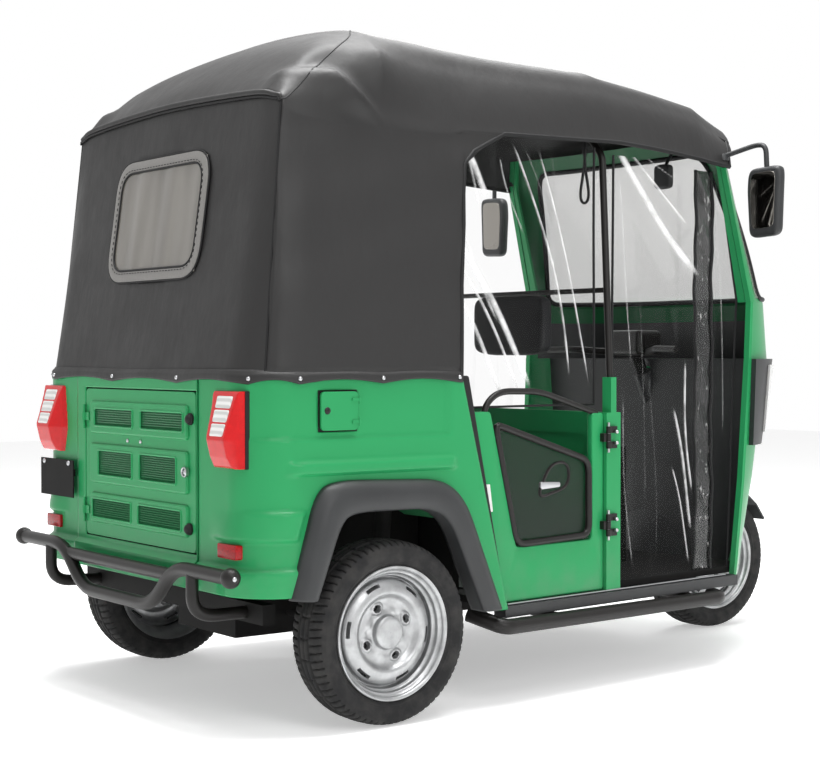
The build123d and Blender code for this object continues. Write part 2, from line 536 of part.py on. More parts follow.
cab_outer = cab_form(0)
cab_inner = cab_form(WALL, 6)
cab_shell = cab_outer - cab_inner
hole_low, hole_top = SCREEN_LOW + SEAL_WIDTH, SCREEN_TOP - SEAL_WIDTH
screen_hole = along(rectangle(-SCREEN_HALF, SCREEN_HALF, hole_low, hole_top), 0, REACH, 50)
wheel_room = Pos(WHEELBASE, 0, TYRE_RADIUS) * Sphere(WHEEL_ROOM)
column_room = rod(on_steer(WHEEL_ROOM / 2), on_steer(900), COLUMN_ROOM)
cowl = (cab_shell & block(0, REACH, -REACH, REACH, 0, COWL_TOP)) - wheel_room - column_room
screen_frame = (cab_shell & block(0, REACH, -REACH, REACH, COWL_TOP, REACH)) - screen_hole
glass_area = screen_area(SCREEN_EDGE, 0)
windscreen = (cab_form(-GLASS) - cab_outer) & glass_area
seal_area = screen_area(SCREEN_EDGE - SEAL_WIDTH, SEAL_WIDTH / 2) - glass_area
screen_seal = (cab_form(-SEAL_PROUD) - cab_outer) & seal_area
ahead = block(WHEELBASE - CAB_SECTIONS[0][1], REACH, -REACH, REACH, 0, REACH) - cab_inner
floor_pan = floor_pan - ahead - b_posts - wheel_room

# Headlamps on the corners of the nose
lamp_start = WHEELBASE - CAB_SECTIONS[2][1] + 15
lamp_room = block(lamp_start, REACH, -REACH, -LAMP_INNER, LAMP_LOW, LAMP_TOP)
lens_start = lamp_start + 110
lens_room = block(lens_start, REACH, -REACH, -LAMP_INNER - LENS_EDGE, LAMP_LOW + 2 * LENS_EDGE, LAMP_TOP - LENS_EDGE)
lamp_form = cab_form(-LAMP_PROUD)
headlamp_housings = both((lamp_form - cab_outer) & lamp_room)
headlamp_lenses = both((cab_form(-LENS_PROUD) - lamp_form) & lens_room)

# Firewall, shelf, column sleeve and the wheel house inside the nose
DASH_TOP, SLEEVE_LOW, SLEEVE_TOP = 1000, 470, 770
dash_half = TUB_HALF - 140
dashboard = block(FIREWALL_X, floor_front, -dash_half, dash_half, FLOOR_TOP, DASH_TOP)
dashboard += block(FIREWALL_X, WHEELBASE - 150, -dash_half, dash_half, DASH_TOP - SHEET, DASH_TOP)
house = Pos(WHEELBASE, 0, TYRE_RADIUS) * Sphere(WHEEL_ROOM + SHEET)
dashboard += house & block(0, REACH, -REACH, REACH, FLOOR_TOP, REACH)
dashboard = (dashboard & cab_inner) - wheel_room - column_room
sleeve_bore = rod(on_steer(WHEEL_ROOM), on_steer(900), COLUMN_RADIUS + SHAFT_GAP)
dashboard += rod(on_steer(SLEEVE_LOW), on_steer(SLEEVE_TOP), COLUMN_ROOM) - sleeve_bore

# Seats and what is under them
BENCH_HALF, BENCH_BASE, BENCH_FRONT = HUB_HALF - TYRE_WIDTH / 2 - 100, 600, 425
bench_base = block(BENCH_FRONT - 30, BENCH_FRONT - 10, -BENCH_HALF, BENCH_HALF, FLOOR_TOP, BENCH_BASE)
bench_base += block(-380, BENCH_FRONT - 10, -BENCH_HALF, BENCH_HALF, BENCH_BASE, BENCH_BASE + 18)
seat_low, seat_back = BENCH_BASE + 18, -95
bench_seat = block(seat_back + 5, BENCH_FRONT, -BENCH_HALF, BENCH_HALF, seat_low, seat_low + 122)
bench_seat = fillet(bench_seat.edges().filter_by(Axis.Y), 30)
bench_back = block(seat_back - 95, seat_back, 102 - TUB_HALF, TUB_HALF - 102, seat_low, seat_low + 562)
bench_seat += fillet(bench_back.edges().filter_by(Axis.Y), 30)
DRIVER_HALF, DRIVER_LOW, DRIVER_TOP = 240, 700, 800
driver_rear, driver_front = PARTITION_X + 92, WHEELBASE - 590
cushion = block(driver_rear, driver_front, -DRIVER_HALF, DRIVER_HALF, DRIVER_LOW, DRIVER_TOP)
driver_seat = fillet(cushion.edges().filter_by(Axis.Y), 24)
backrest = block(driver_rear - 25, driver_rear + 35, 40 - DRIVER_HALF, DRIVER_HALF - 40, 1010, 1220)
driver_seat += fillet(backrest.edges().filter_by(Axis.Y), 20)
driver_seat += both(block(driver_rear - 15, driver_rear + 15, -120, -90, DRIVER_TOP - 20, 1020))
seat_box = block(driver_rear + 10, driver_front - 20, 30 - DRIVER_HALF, DRIVER_HALF - 30, FLOOR_TOP, DRIVER_LOW)
battery_pack = block(60, BENCH_FRONT - 40, -RAIL_Y, RAIL_Y, FLOOR_LOW + 5, BENCH_BASE - 40)
drive_unit = block(-190, 30, -170, 170, 190, 430)
drive_unit += both(rod((0, 125 - HUB_HALF, TYRE_RADIUS), (0, -150, TYRE_RADIUS), 16))

# Rear suspension arms, dampers and wheel spindles
ARM_RADIUS, DAMPER_RADIUS, KNUCKLE_RADIUS = 22, 24, 45
ARM_INSET = 155
arm_y = ARM_INSET - HUB_HALF
arm = rod((480, rail_outer - 30, 260), (30, arm_y, 258), ARM_RADIUS)
arm += rod((0, arm_y - 60, TYRE_RADIUS), (0, arm_y + 10, TYRE_RADIUS), KNUCKLE_RADIUS)
arm += rod((0, -HUB_HALF - 44, TYRE_RADIUS), (0, arm_y - 60, TYRE_RADIUS), SPINDLE_RADIUS)
arm += rod((90, arm_y - 8, 270), (120, arm_y - 8, ARCH_INNER[2][1] - 9), DAMPER_RADIUS)
arm += block(455, 505, rail_outer - 50, rail_outer, 240, FLOOR_LOW)
rear_suspension = both(arm - drive_unit)


# Wheels, turned about Y with the outboard side at -Y: columns radius, y
def turned(points):
    """A ring from (radius, y) points."""
    return revolve(polygon(points), Axis.Y)


BORE = SPINDLE_RADIUS + SHAFT_GAP
TREAD_HALF = TYRE_WIDTH / 2
BEAD, FLANGE = TYRE_RADIUS - 78, TYRE_RADIUS - 72
tyre_side = [(BEAD, 52), (BEAD + 20, TREAD_HALF - 6.5), (BEAD + 40, TREAD_HALF), (TYRE_RADIUS - 18, TREAD_HALF - 3.5)]
tyre_side += [(TYRE_RADIUS - 5, TREAD_HALF - 14.5), (TYRE_RADIUS, TREAD_HALF - 36.5)]
TYRE_PROFILE = [(r, -y) for r, y in tyre_side] + list(reversed(tyre_side))
RIM_PROFILE = [(BORE, -54), (70, -54), (74, -34), (118, -44), (136, -30), (150, -30), (152, -44)]
RIM_PROFILE += [(BEAD - 10, -46), (BEAD - 8, -54), (FLANGE, -54), (FLANGE, -50), (BEAD, -49), (BEAD, 49)]
RIM_PROFILE += [(FLANGE, 50), (FLANGE, 54), (BEAD - 8, 54), (BEAD - 10, 44), (158, 40), (154, -20)]
RIM_PROFILE += [(140, -22), (116, -36), (78, -26), (62, -30), (40, -10), (40, 30), (BORE, 30)]
VENTS, VENT_CIRCLE, VENT_RADIUS = 5, 127, 9
LUGS, LUG_CIRCLE, LUG_RADIUS = 4, 52, 8


def tyre():
    """The tyre on its rim's beads."""
    return turned(TYRE_PROFILE) - turned(RIM_PROFILE)


def rim():
    """The pressed rim with its ring of vents and lug holes."""
    disc = turned(RIM_PROFILE)
    for count, circle, radius in ((VENTS, VENT_CIRCLE, VENT_RADIUS), (LUGS, LUG_CIRCLE, LUG_RADIUS)):
        for k in range(count):
            x, z = circle * cos(2 * pi * k / count), circle * sin(2 * pi * k / count)
            disc -= rod((x, -TYRE_WIDTH, z), (x, TYRE_WIDTH, z), radius)
    return disc


WHEELS = [("rear_right", 0, -HUB_HALF, 0), ("rear_left", 0, HUB_HALF, 180), ("front", WHEELBASE, 0, 0)]
nodes = {}
for name, x, y, turn in WHEELS:
    place = Pos(x, y, TYRE_RADIUS) * Rot(0, 0, turn)
    nodes["tyre_" + name] = place * tyre()
    nodes["rim_" + name] = place * rim()

# Steering: fork, column, handlebar, guard over the front wheel
CROWN, FORK_HALF, FORK_LEG, BAR_TOP = 300, TREAD_HALF + 32, 16, 840
GUARD_RADIUS, GUARD_THICK, GUARD_HALF = 271, 7, TREAD_HALF + 12
fork = rod(on_steer(CROWN), on_steer(BAR_TOP), COLUMN_RADIUS)
crown = on_steer(CROWN)
rake = radians(STEER_RAKE)
tilted = Plane(origin=crown, x_dir=(cos(rake), 0, sin(rake)), z_dir=(-sin(rake), 0, cos(rake)))
crown_low = CROWN - GUARD_RADIUS - GUARD_THICK / 2
fork += tilted * Pos(0, 0, (23 - crown_low) / 2) * Box(50, 2 * FORK_HALF + 32, 23 + crown_low)
for side in (-1, 1):
    fork += rod((crown[0], side * FORK_HALF, crown[2]), (WHEELBASE, side * FORK_HALF, TYRE_RADIUS), FORK_LEG)
axle_half = FORK_HALF + 6
fork += rod((WHEELBASE, -axle_half, TYRE_RADIUS), (WHEELBASE, axle_half, TYRE_RADIUS), SPINDLE_RADIUS)
bar_x, _, bar_z = on_steer(BAR_TOP)
grip = [(bar_x - 135, 330, bar_z + 17), (bar_x - 115, 210, bar_z + 19), (bar_x - 20, 70, bar_z + 7)]
handlebar = tube([(x, -y, z) for x, y, z in grip] + list(reversed(grip)), 12, 40)
pod = block(bar_x - 75, bar_x + 45, -90, 90, bar_z - 3, bar_z + 87)
handlebar += fillet(pod.edges(), 20)
handlebar -= fork


def guard_arc(radius):
    """The guard's curve over the tyre, front to back."""
    steps = [radians(a) for a in range(30, 166, 15)]
    return [(WHEELBASE + radius * cos(a), TYRE_RADIUS + radius * sin(a)) for a in steps]


ring = guard_arc(GUARD_RADIUS + GUARD_THICK) + list(reversed(guard_arc(GUARD_RADIUS)))
front_guard = across(ring, -GUARD_HALF, GUARD_HALF) - fork

# Mirrors on bent arms from the front corners of the roof
MIRROR_X, MIRROR_Y, MIRROR_Z = WHEELBASE - 450, TUB_HALF + 27, 1500
mirror_head = block(MIRROR_X - 16, MIRROR_X + 18, -MIRROR_Y - 72, 72 - MIRROR_Y, MIRROR_Z - 105, MIRROR_Z + 105)
mirror_head = fillet(mirror_head.edges().filter_by(Axis.X), 26)
mirror_head = fillet(mirror_head.edges().filter_by(GeomType.LINE), 10)
arm_path = [(MIRROR_X - 36, 160 - MIRROR_Y, 1668), (MIRROR_X, 40 - MIRROR_Y, 1722), (MIRROR_X, -MIRROR_Y, 1712)]
arm_path += [(MIRROR_X, -MIRROR_Y - 4, MIRROR_Z + 95)]
mirror_arm = tube(arm_path, 8, 24) - canopy_outer - cab_outer
mirrors = both(mirror_head + mirror_arm)

# Clear curtains on the right, one behind the post and one ahead of it
FILM, FILM_IN = 3, 46
curtain_low, curtain_top = DOOR_REAR_TOP + 12, SPLIT + 40
rear_film = [(30, curtain_low), (POST_REAR - 12, curtain_low), (POST_REAR - 12, curtain_top)]
rear_film += [(SIDE_EDGE_TOP - SIDE_X, 1570), (6, HEM + 12)]
front_film = [(POST_FRONT + 12, FLOOR_TOP)]
front_film += [(WHEELBASE - back - SIDE_X, z) for z, back in ((FLOOR_TOP, 430), (1000, 360), (1180, 350))]
front_film += [(WHEELBASE - 465 - SIDE_X, curtain_top), (POST_FRONT + 12, curtain_top)]
curtains = on_side(rear_film, -FILM_IN, FILM - FILM_IN) + on_side(front_film, -FILM_IN, FILM - FILM_IN)
for neighbour in (canopy, cab_outer, canopy_frame, quarter_panels, door, rail):
    curtains -= neighbour

nodes |= {
    "chassis_rails": chassis_rails,
    "chassis_cross": chassis_cross,
    "floor_pan": floor_pan,
    "floor_mat": floor_mat,
    "quarter_panels": quarter_panels,
    "rear_panel": rear_panel,
    "arch_flares": arch_flares,
    "inner_arches": inner_arches,
    "tail_lamps": tail_lamps,
    "reflectors": reflectors,
    "number_plate": number_plate,
    "rear_bumper": rear_bumper,
    "canopy_roof": canopy_roof,
    "canopy_rear": canopy_rear,
    "canopy_sides": canopy_sides,
    "canopy_frame": canopy_frame,
    "rear_window": rear_window,
    "cowl": cowl,
    "screen_frame": screen_frame,
    "windscreen": windscreen,
    "screen_seal": screen_seal,
    "headlamp_housings": headlamp_housings,
    "headlamp_lenses": headlamp_lenses,
    "dashboard": dashboard,
    "partition": partition,
    "b_posts": b_posts,
    "sills": sills,
    "side_steps": side_steps,
    "bench_base": bench_base,
    "bench_seat": bench_seat,
    "driver_seat": driver_seat,
    "seat_box": seat_box,
    "battery_pack": battery_pack,
    "drive_unit": drive_unit,
    "rear_suspension": rear_suspension,
    "mirrors": mirrors,
    "post_hinges": post_hinges,
    "door_seals": door_seals,
    "curtains": curtains,
    "fork": fork,
    "handlebar": handlebar,
    "front_guard": front_guard,
    "hatch": hatch,
    "hatch_grilles": hatch_grilles,
    "charge_flap": charge_flap,
}
for name, shape in (("door", door), ("door_rail", rail), ("door_pane", pane)):
    nodes[name + "_right"] = shape
    nodes[name + "_left"] = mirror(shape, about=Plane.XZ)

if __name__ == "__main__":
    os.makedirs("parts", exist_ok=True)
    for name, shape in nodes.items():
        export_step(Pos(OFFSET_X, 0, 0) * shape, f"parts/{name}.step")
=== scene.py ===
"""Dresses an electric auto rickshaw: paint, vinyl canopy, clear curtains, wheels, lamps and trim."""

import json
import math

import bmesh
import bpy
import numpy as np
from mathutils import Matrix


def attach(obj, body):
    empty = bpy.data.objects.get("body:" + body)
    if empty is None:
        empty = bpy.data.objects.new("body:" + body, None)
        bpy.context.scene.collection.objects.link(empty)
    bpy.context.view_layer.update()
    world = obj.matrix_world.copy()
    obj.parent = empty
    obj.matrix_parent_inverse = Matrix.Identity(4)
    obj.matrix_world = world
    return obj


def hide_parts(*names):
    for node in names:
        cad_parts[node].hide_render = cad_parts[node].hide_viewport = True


bl_info = {
    "name": "Auto rickshaw dresser",
    "version": (1, 0, 0),
    "blender": (4, 5, 0),
    "location": "View3D > Sidebar > Rickshaw",
    "description": "Builds the visible skins, soft goods and finishes of an electric auto rickshaw",
    "category": "Object",
}

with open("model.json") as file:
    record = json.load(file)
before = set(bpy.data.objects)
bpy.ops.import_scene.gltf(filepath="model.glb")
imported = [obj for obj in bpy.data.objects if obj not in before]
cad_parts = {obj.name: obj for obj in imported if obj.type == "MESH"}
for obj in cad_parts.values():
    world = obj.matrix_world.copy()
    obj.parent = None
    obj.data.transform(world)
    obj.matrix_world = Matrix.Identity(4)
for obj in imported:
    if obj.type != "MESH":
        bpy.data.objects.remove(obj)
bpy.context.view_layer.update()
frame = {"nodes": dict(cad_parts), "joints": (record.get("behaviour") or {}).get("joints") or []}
JOINT = {joint["name"]: joint for joint in frame["joints"]}
AXLE = JOINT["wheel_rear_right_spin"]["pos_m"][0]
HUB_HEIGHT = JOINT["wheel_rear_right_spin"]["pos_m"][2]
HUB_HALF = JOINT["wheel_rear_left_spin"]["pos_m"][1]
FRONT_HUB = JOINT["wheel_front_spin"]["pos_m"][0] - AXLE

# Body sizes in metres, with x measured from the rear axle
TUB_HALF, TUB_REAR, TUB_CORNER, TUB_TOP = 0.662, -0.425, 0.140, 0.950
TUB_FRONT, TUB_RAKE = 0.262, 0.169
HEM_HALF = TUB_HALF - 0.006
SIDE_X, SIDE_Y, SIDE_TAPER = 0.260, 0.655, math.radians(4.45)


# Shapes
def blend(a, b, t):
    """Straight mix of a and b."""
    return a + (b - a) * t


def ease(low, high, x):
    """Smooth step: 0 below low, 1 above high, 3t^2 - 2t^3 between."""
    t = np.clip((np.asarray(x, float) - low) / (high - low), 0, 1)
    return t * t * (3 - 2 * t)


def hump(x, middle, width):
    """Bell curve exp(-((x - middle) / width)^2)."""
    return np.exp(-(((np.asarray(x, float) - middle) / width) ** 2))


def pairs(a, b):
    """Two lists of samples as the two arrays of a grid, a along axis 0."""
    return np.meshgrid(a, b, indexing="ij")


def xyz(x, y, z):
    """Points from their three coordinates, spread to one shape."""
    return np.stack(np.broadcast_arrays(x, y, z), axis=-1)


def spun(r, h, a):
    """Points turned about y: (r cos a, h, r sin a)."""
    return xyz(r * np.cos(a), h, r * np.sin(a))


def looped(line):
    """A line with its first point again at its end."""
    return np.concatenate([line, line[:1]])


def rectangle(a0, a1, b0, b1, grow=0.0):
    """Four corners from the lowest round to the left, grown outward."""
    a0, a1, b0, b1 = a0 - grow, a1 + grow, b0 - grow, b1 + grow
    return [(a0, b0), (a1, b0), (a1, b1), (a0, b1)]


def through(points, steps):
    """Catmull-Rom curve through the points along axis 0, with steps samples a span."""
    points = np.asarray(points, float)
    slope = np.gradient(points, axis=0)
    t = np.linspace(0, 1, steps, endpoint=False).reshape((-1,) + (1,) * (points.ndim - 1))
    a, b, da, db = points[:-1, None], points[1:, None], slope[:-1, None], slope[1:, None]
    t = t[None]
    spans = (2 * t**3 - 3 * t**2 + 1) * a + (t**3 - 2 * t**2 + t) * da
    spans = spans + (3 * t**2 - 2 * t**3) * b + (t**3 - t**2) * db
    return np.concatenate([spans.reshape((-1,) + points.shape[1:]), points[-1:]])


def rounded(corners, radius, steps=6, closed=True):
    """Outline through corners, each cut back by radius and bridged by a quadratic curve."""
    corners = np.asarray(corners, float)
    before, after = np.roll(corners, 1, 0), np.roll(corners, -1, 0)
    into, out = corners - before, after - corners
    reach_in = np.minimum(radius, 0.48 * np.linalg.norm(into, axis=1))[:, None]
    reach_out = np.minimum(radius, 0.48 * np.linalg.norm(out, axis=1))[:, None]
    start = corners - into / np.linalg.norm(into, axis=1)[:, None] * reach_in
    end = corners + out / np.linalg.norm(out, axis=1)[:, None] * reach_out
    if not closed:
        start[0] = end[0] = corners[0]
        start[-1] = end[-1] = corners[-1]
    t = np.linspace(0, 1, steps)[None, :, None]
    arcs = (1 - t) ** 2 * start[:, None] + 2 * t * (1 - t) * corners[:, None] + t**2 * end[:, None]
    return arcs.reshape(-1, corners.shape[1])


def spaced(path, count):
    """The path resampled at count points of equal arc length."""
    path = np.asarray(path, float)
    length = np.concatenate([[0], np.cumsum(np.linalg.norm(np.diff(path, axis=0), axis=1))])
    at = np.linspace(0, length[-1], count)
    return np.stack([np.interp(at, length, column) for column in path.T], axis=1)


def surface(points, wrap_u=False, wrap_v=False, keep=None):
    """A grid of points (u, v, xyz) as vertices and quads, less the cells where keep is false."""
    nu, nv = points.shape[:2]
    u = np.arange(nu if wrap_u else nu - 1)
    v = np.arange(nv if wrap_v else nv - 1)
    a, b = pairs(u, v)
    a1, b1 = (a + 1) % nu, (b + 1) % nv
    quads = np.stack([a * nv + b, a1 * nv + b, a1 * nv + b1, a * nv + b1], axis=-1)
    quads = quads.reshape(-1, 4) if keep is None else quads[keep]
    return points.reshape(-1, 3), quads.tolist()


def join(*parts):
    """Several (vertices, faces) as one."""
    vertices, faces, base = [], [], 0
    for points, cells in parts:
        vertices.append(points)
        faces.extend([[i + base for i in cell] for cell in cells])
        base += len(points)
    return np.concatenate(vertices), faces


def mirrored(part):
    """A part and its mirror image in y, faces turned to stay outward."""
    points, cells = part
    return join(part, (points * [1, -1, 1], [cell[::-1] for cell in cells]))


def flipped(part, way):
    """A part as it is, or mirrored in y where way is -1."""
    points, cells = part
    return points * [1, way, 1], cells


def tube(path, radius, sides=14):
    """A round profile along a path: p + r (cos a N + sin a B), N in the path's own plane, ends closed."""
    path = np.asarray(path, float)
    tangent = np.gradient(path, axis=0)
    tangent /= np.linalg.norm(tangent, axis=1)[:, None] + 1e-12
    tangent = np.concatenate([tangent[:1], tangent[:1], tangent, tangent[-1:], tangent[-1:]])
    flat = np.linalg.svd(path - path.mean(axis=0), full_matrices=False)[2][-1]
    side = np.cross(tangent, flat)
    side /= np.linalg.norm(side, axis=1)[:, None] + 1e-12
    over = np.cross(side, tangent)
    ends = np.concatenate([path[:1], path[:1], path, path[-1:], path[-1:]])
    size = np.broadcast_to(np.asarray(radius, float), (len(path),))
    size = np.concatenate([[0, size[0] * 0.8], size, [size[-1] * 0.8, 0]])[:, None, None]
    a = np.linspace(0, 2 * np.pi, sides, endpoint=False)[None, :, None]
    ring = ends[:, None] + size * (np.cos(a) * side[:, None] + np.sin(a) * over[:, None])
    return surface(ring, wrap_v=True)


def lathe(profile, steps=48, centre=(0, 0, 0), axis="y"):
    """A profile of (radius, height) points turned about an axis: (r cos a, h, r sin a)."""
    profile = np.asarray(profile, float)
    a = np.linspace(0, 2 * np.pi, steps, endpoint=False)
    r, h = profile[:, :1], np.broadcast_to(profile[:, 1:2], (len(profile), steps))
    order = {"y": (r * np.cos(a), h, r * np.sin(a)), "x": (h, r * np.sin(a), r * np.cos(a))}
    order["z"] = (r * np.sin(a), r * np.cos(a), h)
    return surface(np.stack(order[axis], axis=-1) + np.asarray(centre, float), wrap_v=True)


def slab(outline, place, low, high, bevel=0.004):
    """A plate: an (a, b) outline carried from depth low to high with its edges rounded by bevel."""
    outline = np.asarray(outline, float)
    step = np.roll(outline, -1, 0) - np.roll(outline, 1, 0)
    step /= np.linalg.norm(step, axis=1)[:, None] + 1e-12
    area = np.sum(outline[:, 0] * np.roll(outline[:, 1], -1) - outline[:, 1] * np.roll(outline[:, 0], -1))
    inward = np.stack([-step[:, 1], step[:, 0]], axis=1) * np.sign(area)
    turn = np.radians([0, 30, 60, 90])
    inset = np.concatenate([bevel * (1 - np.sin(turn)), bevel * (1 - np.cos(turn))])
    depth = np.concatenate([low + bevel * (1 - np.cos(turn)), high - bevel * (1 - np.sin(turn))])
    rings = outline[None] + inward[None] * inset[:, None, None]
    deep = np.broadcast_to(depth[:, None], rings.shape[:2])
    points = place(rings[..., 0], rings[..., 1], deep)
    vertices, faces = surface(points, wrap_v=True)
    n = len(outline)
    return vertices, faces + [list(range(n))[::-1], list(range(len(vertices) - n, len(vertices)))]


def on_side(u, z, w):
    """The tapered right side: u forward along it, z up, w outward."""
    x = SIDE_X + u * math.cos(SIDE_TAPER) + w * math.sin(SIDE_TAPER)
    y = -SIDE_Y + u * math.sin(SIDE_TAPER) - w * math.cos(SIDE_TAPER)
    return xyz(x, y, z)


def on_rear(y, z, out):
    """The flat rear wall: y to the left, z up, out rearward."""
    return xyz(TUB_REAR - out, y, z)


def on_wall(x, z, out):
    """The flat right wall of the tub: x forward, z up, out outward."""
    return xyz(x, -TUB_HALF - out, z)


# Node maths
class Wire:
    """A node's output in one tree; arithmetic on it adds Math nodes."""

    def __init__(self, wiring, socket):
        self.wiring, self.socket = wiring, socket

    def math(self, operation, *values):
        """Adds a Math node."""
        return self.wiring.node("ShaderNodeMath", {"operation": operation}, dict(enumerate(values)))

    def __add__(self, other):
        return self.math("ADD", self, other)

    def __radd__(self, other):
        return self.math("ADD", other, self)

    def __sub__(self, other):
        return self.math("SUBTRACT", self, other)

    def __rsub__(self, other):
        return self.math("SUBTRACT", other, self)

    def __mul__(self, other):
        return self.math("MULTIPLY", self, other)

    def __rmul__(self, other):
        return self.math("MULTIPLY", other, self)


class Wiring:
    """One node tree, and the one way to add a node to it."""

    def __init__(self, tree):
        self.tree = tree

    def node(self, kind, settings=None, inputs=None, output=0):
        """Adds a node: its settings first, then the values or wires of its sockets."""
        made = self.tree.nodes.new(kind)
        for key, value in (settings or {}).items():
            setattr(made, key, value)
        for key, value in (inputs or {}).items():
            self.feed(made.inputs[key], value)
        return Wire(self, made.outputs[output])

    def feed(self, socket, value):
        """Links a wire to a socket, or sets its value."""
        if isinstance(value, Wire):
            self.tree.links.new(value.socket, socket)
        else:
            socket.default_value = value


class Finish(Wiring):
    """One material: its Principled shader and the nodes that feed it."""

    def __init__(self, name, **values):
        self.material = bpy.data.materials.new(name)
        self.material.use_nodes = True
        super().__init__(self.material.node_tree)
        self.shader = self.tree.nodes["Principled BSDF"]
        self.place = None
        for key, value in values.items():
            self.set(key.replace("_", " "), value)

    def set(self, key, value):
        """Sets or links one of the shader's own sockets."""
        self.feed(self.shader.inputs[key], value)

    def where(self):
        """Object coordinates in metres."""
        if self.place is None:
            self.place = self.node("ShaderNodeTexCoord", output="Object")
        return self.place

    def axis(self, letter):
        """One of the object coordinates."""
        return self.node("ShaderNodeSeparateXYZ", inputs={0: self.where()}, output=letter)

    def noise(self, scale, detail=3.0, rough=0.55, stretch=None):
        """Fractal noise over the object, from 0 to 1, stretched by a scale vector if one is given."""
        place = self.where()
        if stretch:
            place = self.node("ShaderNodeMapping", inputs={"Vector": place, "Scale": stretch})
        return self.node("ShaderNodeTexNoise", inputs={
            "Vector": place, "Scale": scale, "Detail": detail, "Roughness": rough})

    def span(self, value, low, high, to_low=0.0, to_high=1.0):
        """Maps low..high to to_low..to_high, held at the ends."""
        return self.node("ShaderNodeMapRange", inputs={0: value, 1: low, 2: high, 3: to_low, 4: to_high})

    def mix(self, factor, first, second):
        """A colour between first and second."""
        return self.node("ShaderNodeMix", {"data_type": "RGBA"}, {0: factor, 6: first, 7: second}, output=2)

    def vary(self, factor, first, second):
        """Mixes the base colour from first to second."""
        self.set("Base Color", self.mix(factor, first, second))

    def bump(self, height, strength, distance, before=None):
        """Feeds the shader's normal from a height, on top of an earlier bump if one is given."""
        inputs = {"Strength": strength, "Distance": distance, "Height": height}
        if before is not None:
            inputs["Normal"] = before
        made = self.node("ShaderNodeBump", inputs=inputs)
        self.set("Normal", made)
        return made


def tint(red, green, blue):
    """An sRGB colour from 0 to 255 as linear RGBA."""
    values = [channel / 255 for channel in (red, green, blue)]
    return (*[v / 12.92 if v <= 0.04045 else ((v + 0.055) / 1.055) ** 2.4 for v in values], 1.0)


def shade(colour, scale):
    """An RGBA colour times scale."""
    return (*[scale * v for v in colour[:3]], 1.0)


# What a user may change
def colour_prop(name, text, default):
    """An RGBA colour property."""
    return bpy.props.FloatVectorProperty(
        name=name, description=text, subtype="COLOR", size=4, min=0, max=1, default=default)


def length_prop(name, text, default):
    """A length property in metres."""
    return bpy.props.FloatProperty(
        name=name, description=text, unit="LENGTH", subtype="DISTANCE", min=0, default=default)


class RickshawColours(bpy.types.PropertyGroup):
    """Colours of the vehicle."""

    body: colour_prop("Body", "Paint of the metal panels", tint(41, 145, 87))
    canopy: colour_prop("Canopy", "Vinyl of the roof and sides", tint(21, 20, 20))
    trim: colour_prop("Trim", "Black plastic of flares, lamps and dash", tint(42, 43, 44))
    frame: colour_prop("Frame", "Lacquer of tubes, bumper and steps", tint(21, 19, 18))
    rim: colour_prop("Rims", "Pressed steel wheels", tint(176, 177, 178))
    seat: colour_prop("Seats", "Cover of the cushions", tint(30, 30, 32))
    lens: colour_prop("Red lens", "Tail lamps and reflectors", tint(196, 16, 20))
    floor: colour_prop("Floor", "Studio floor and backdrop", (1.0, 1.0, 1.0, 1.0))


class RickshawSizes(bpy.types.PropertyGroup):
    """Sizes of the dressing."""

    stud: length_prop("Hem stud", "Radius of the canopy's hem studs", 0.0062)
    piping: length_prop("Piping", "Radius of the canopy's piped seams", 0.0045)
    tread: length_prop("Tread depth", "Depth of the tyre grooves", 0.007)
    sag: length_prop("Canopy sag", "How far the vinyl sags between its hoops", 0.010)
    crease: length_prop("Film crease", "Height of the creases in the clear curtains", 0.006)


# Finishes
FINISH = {}


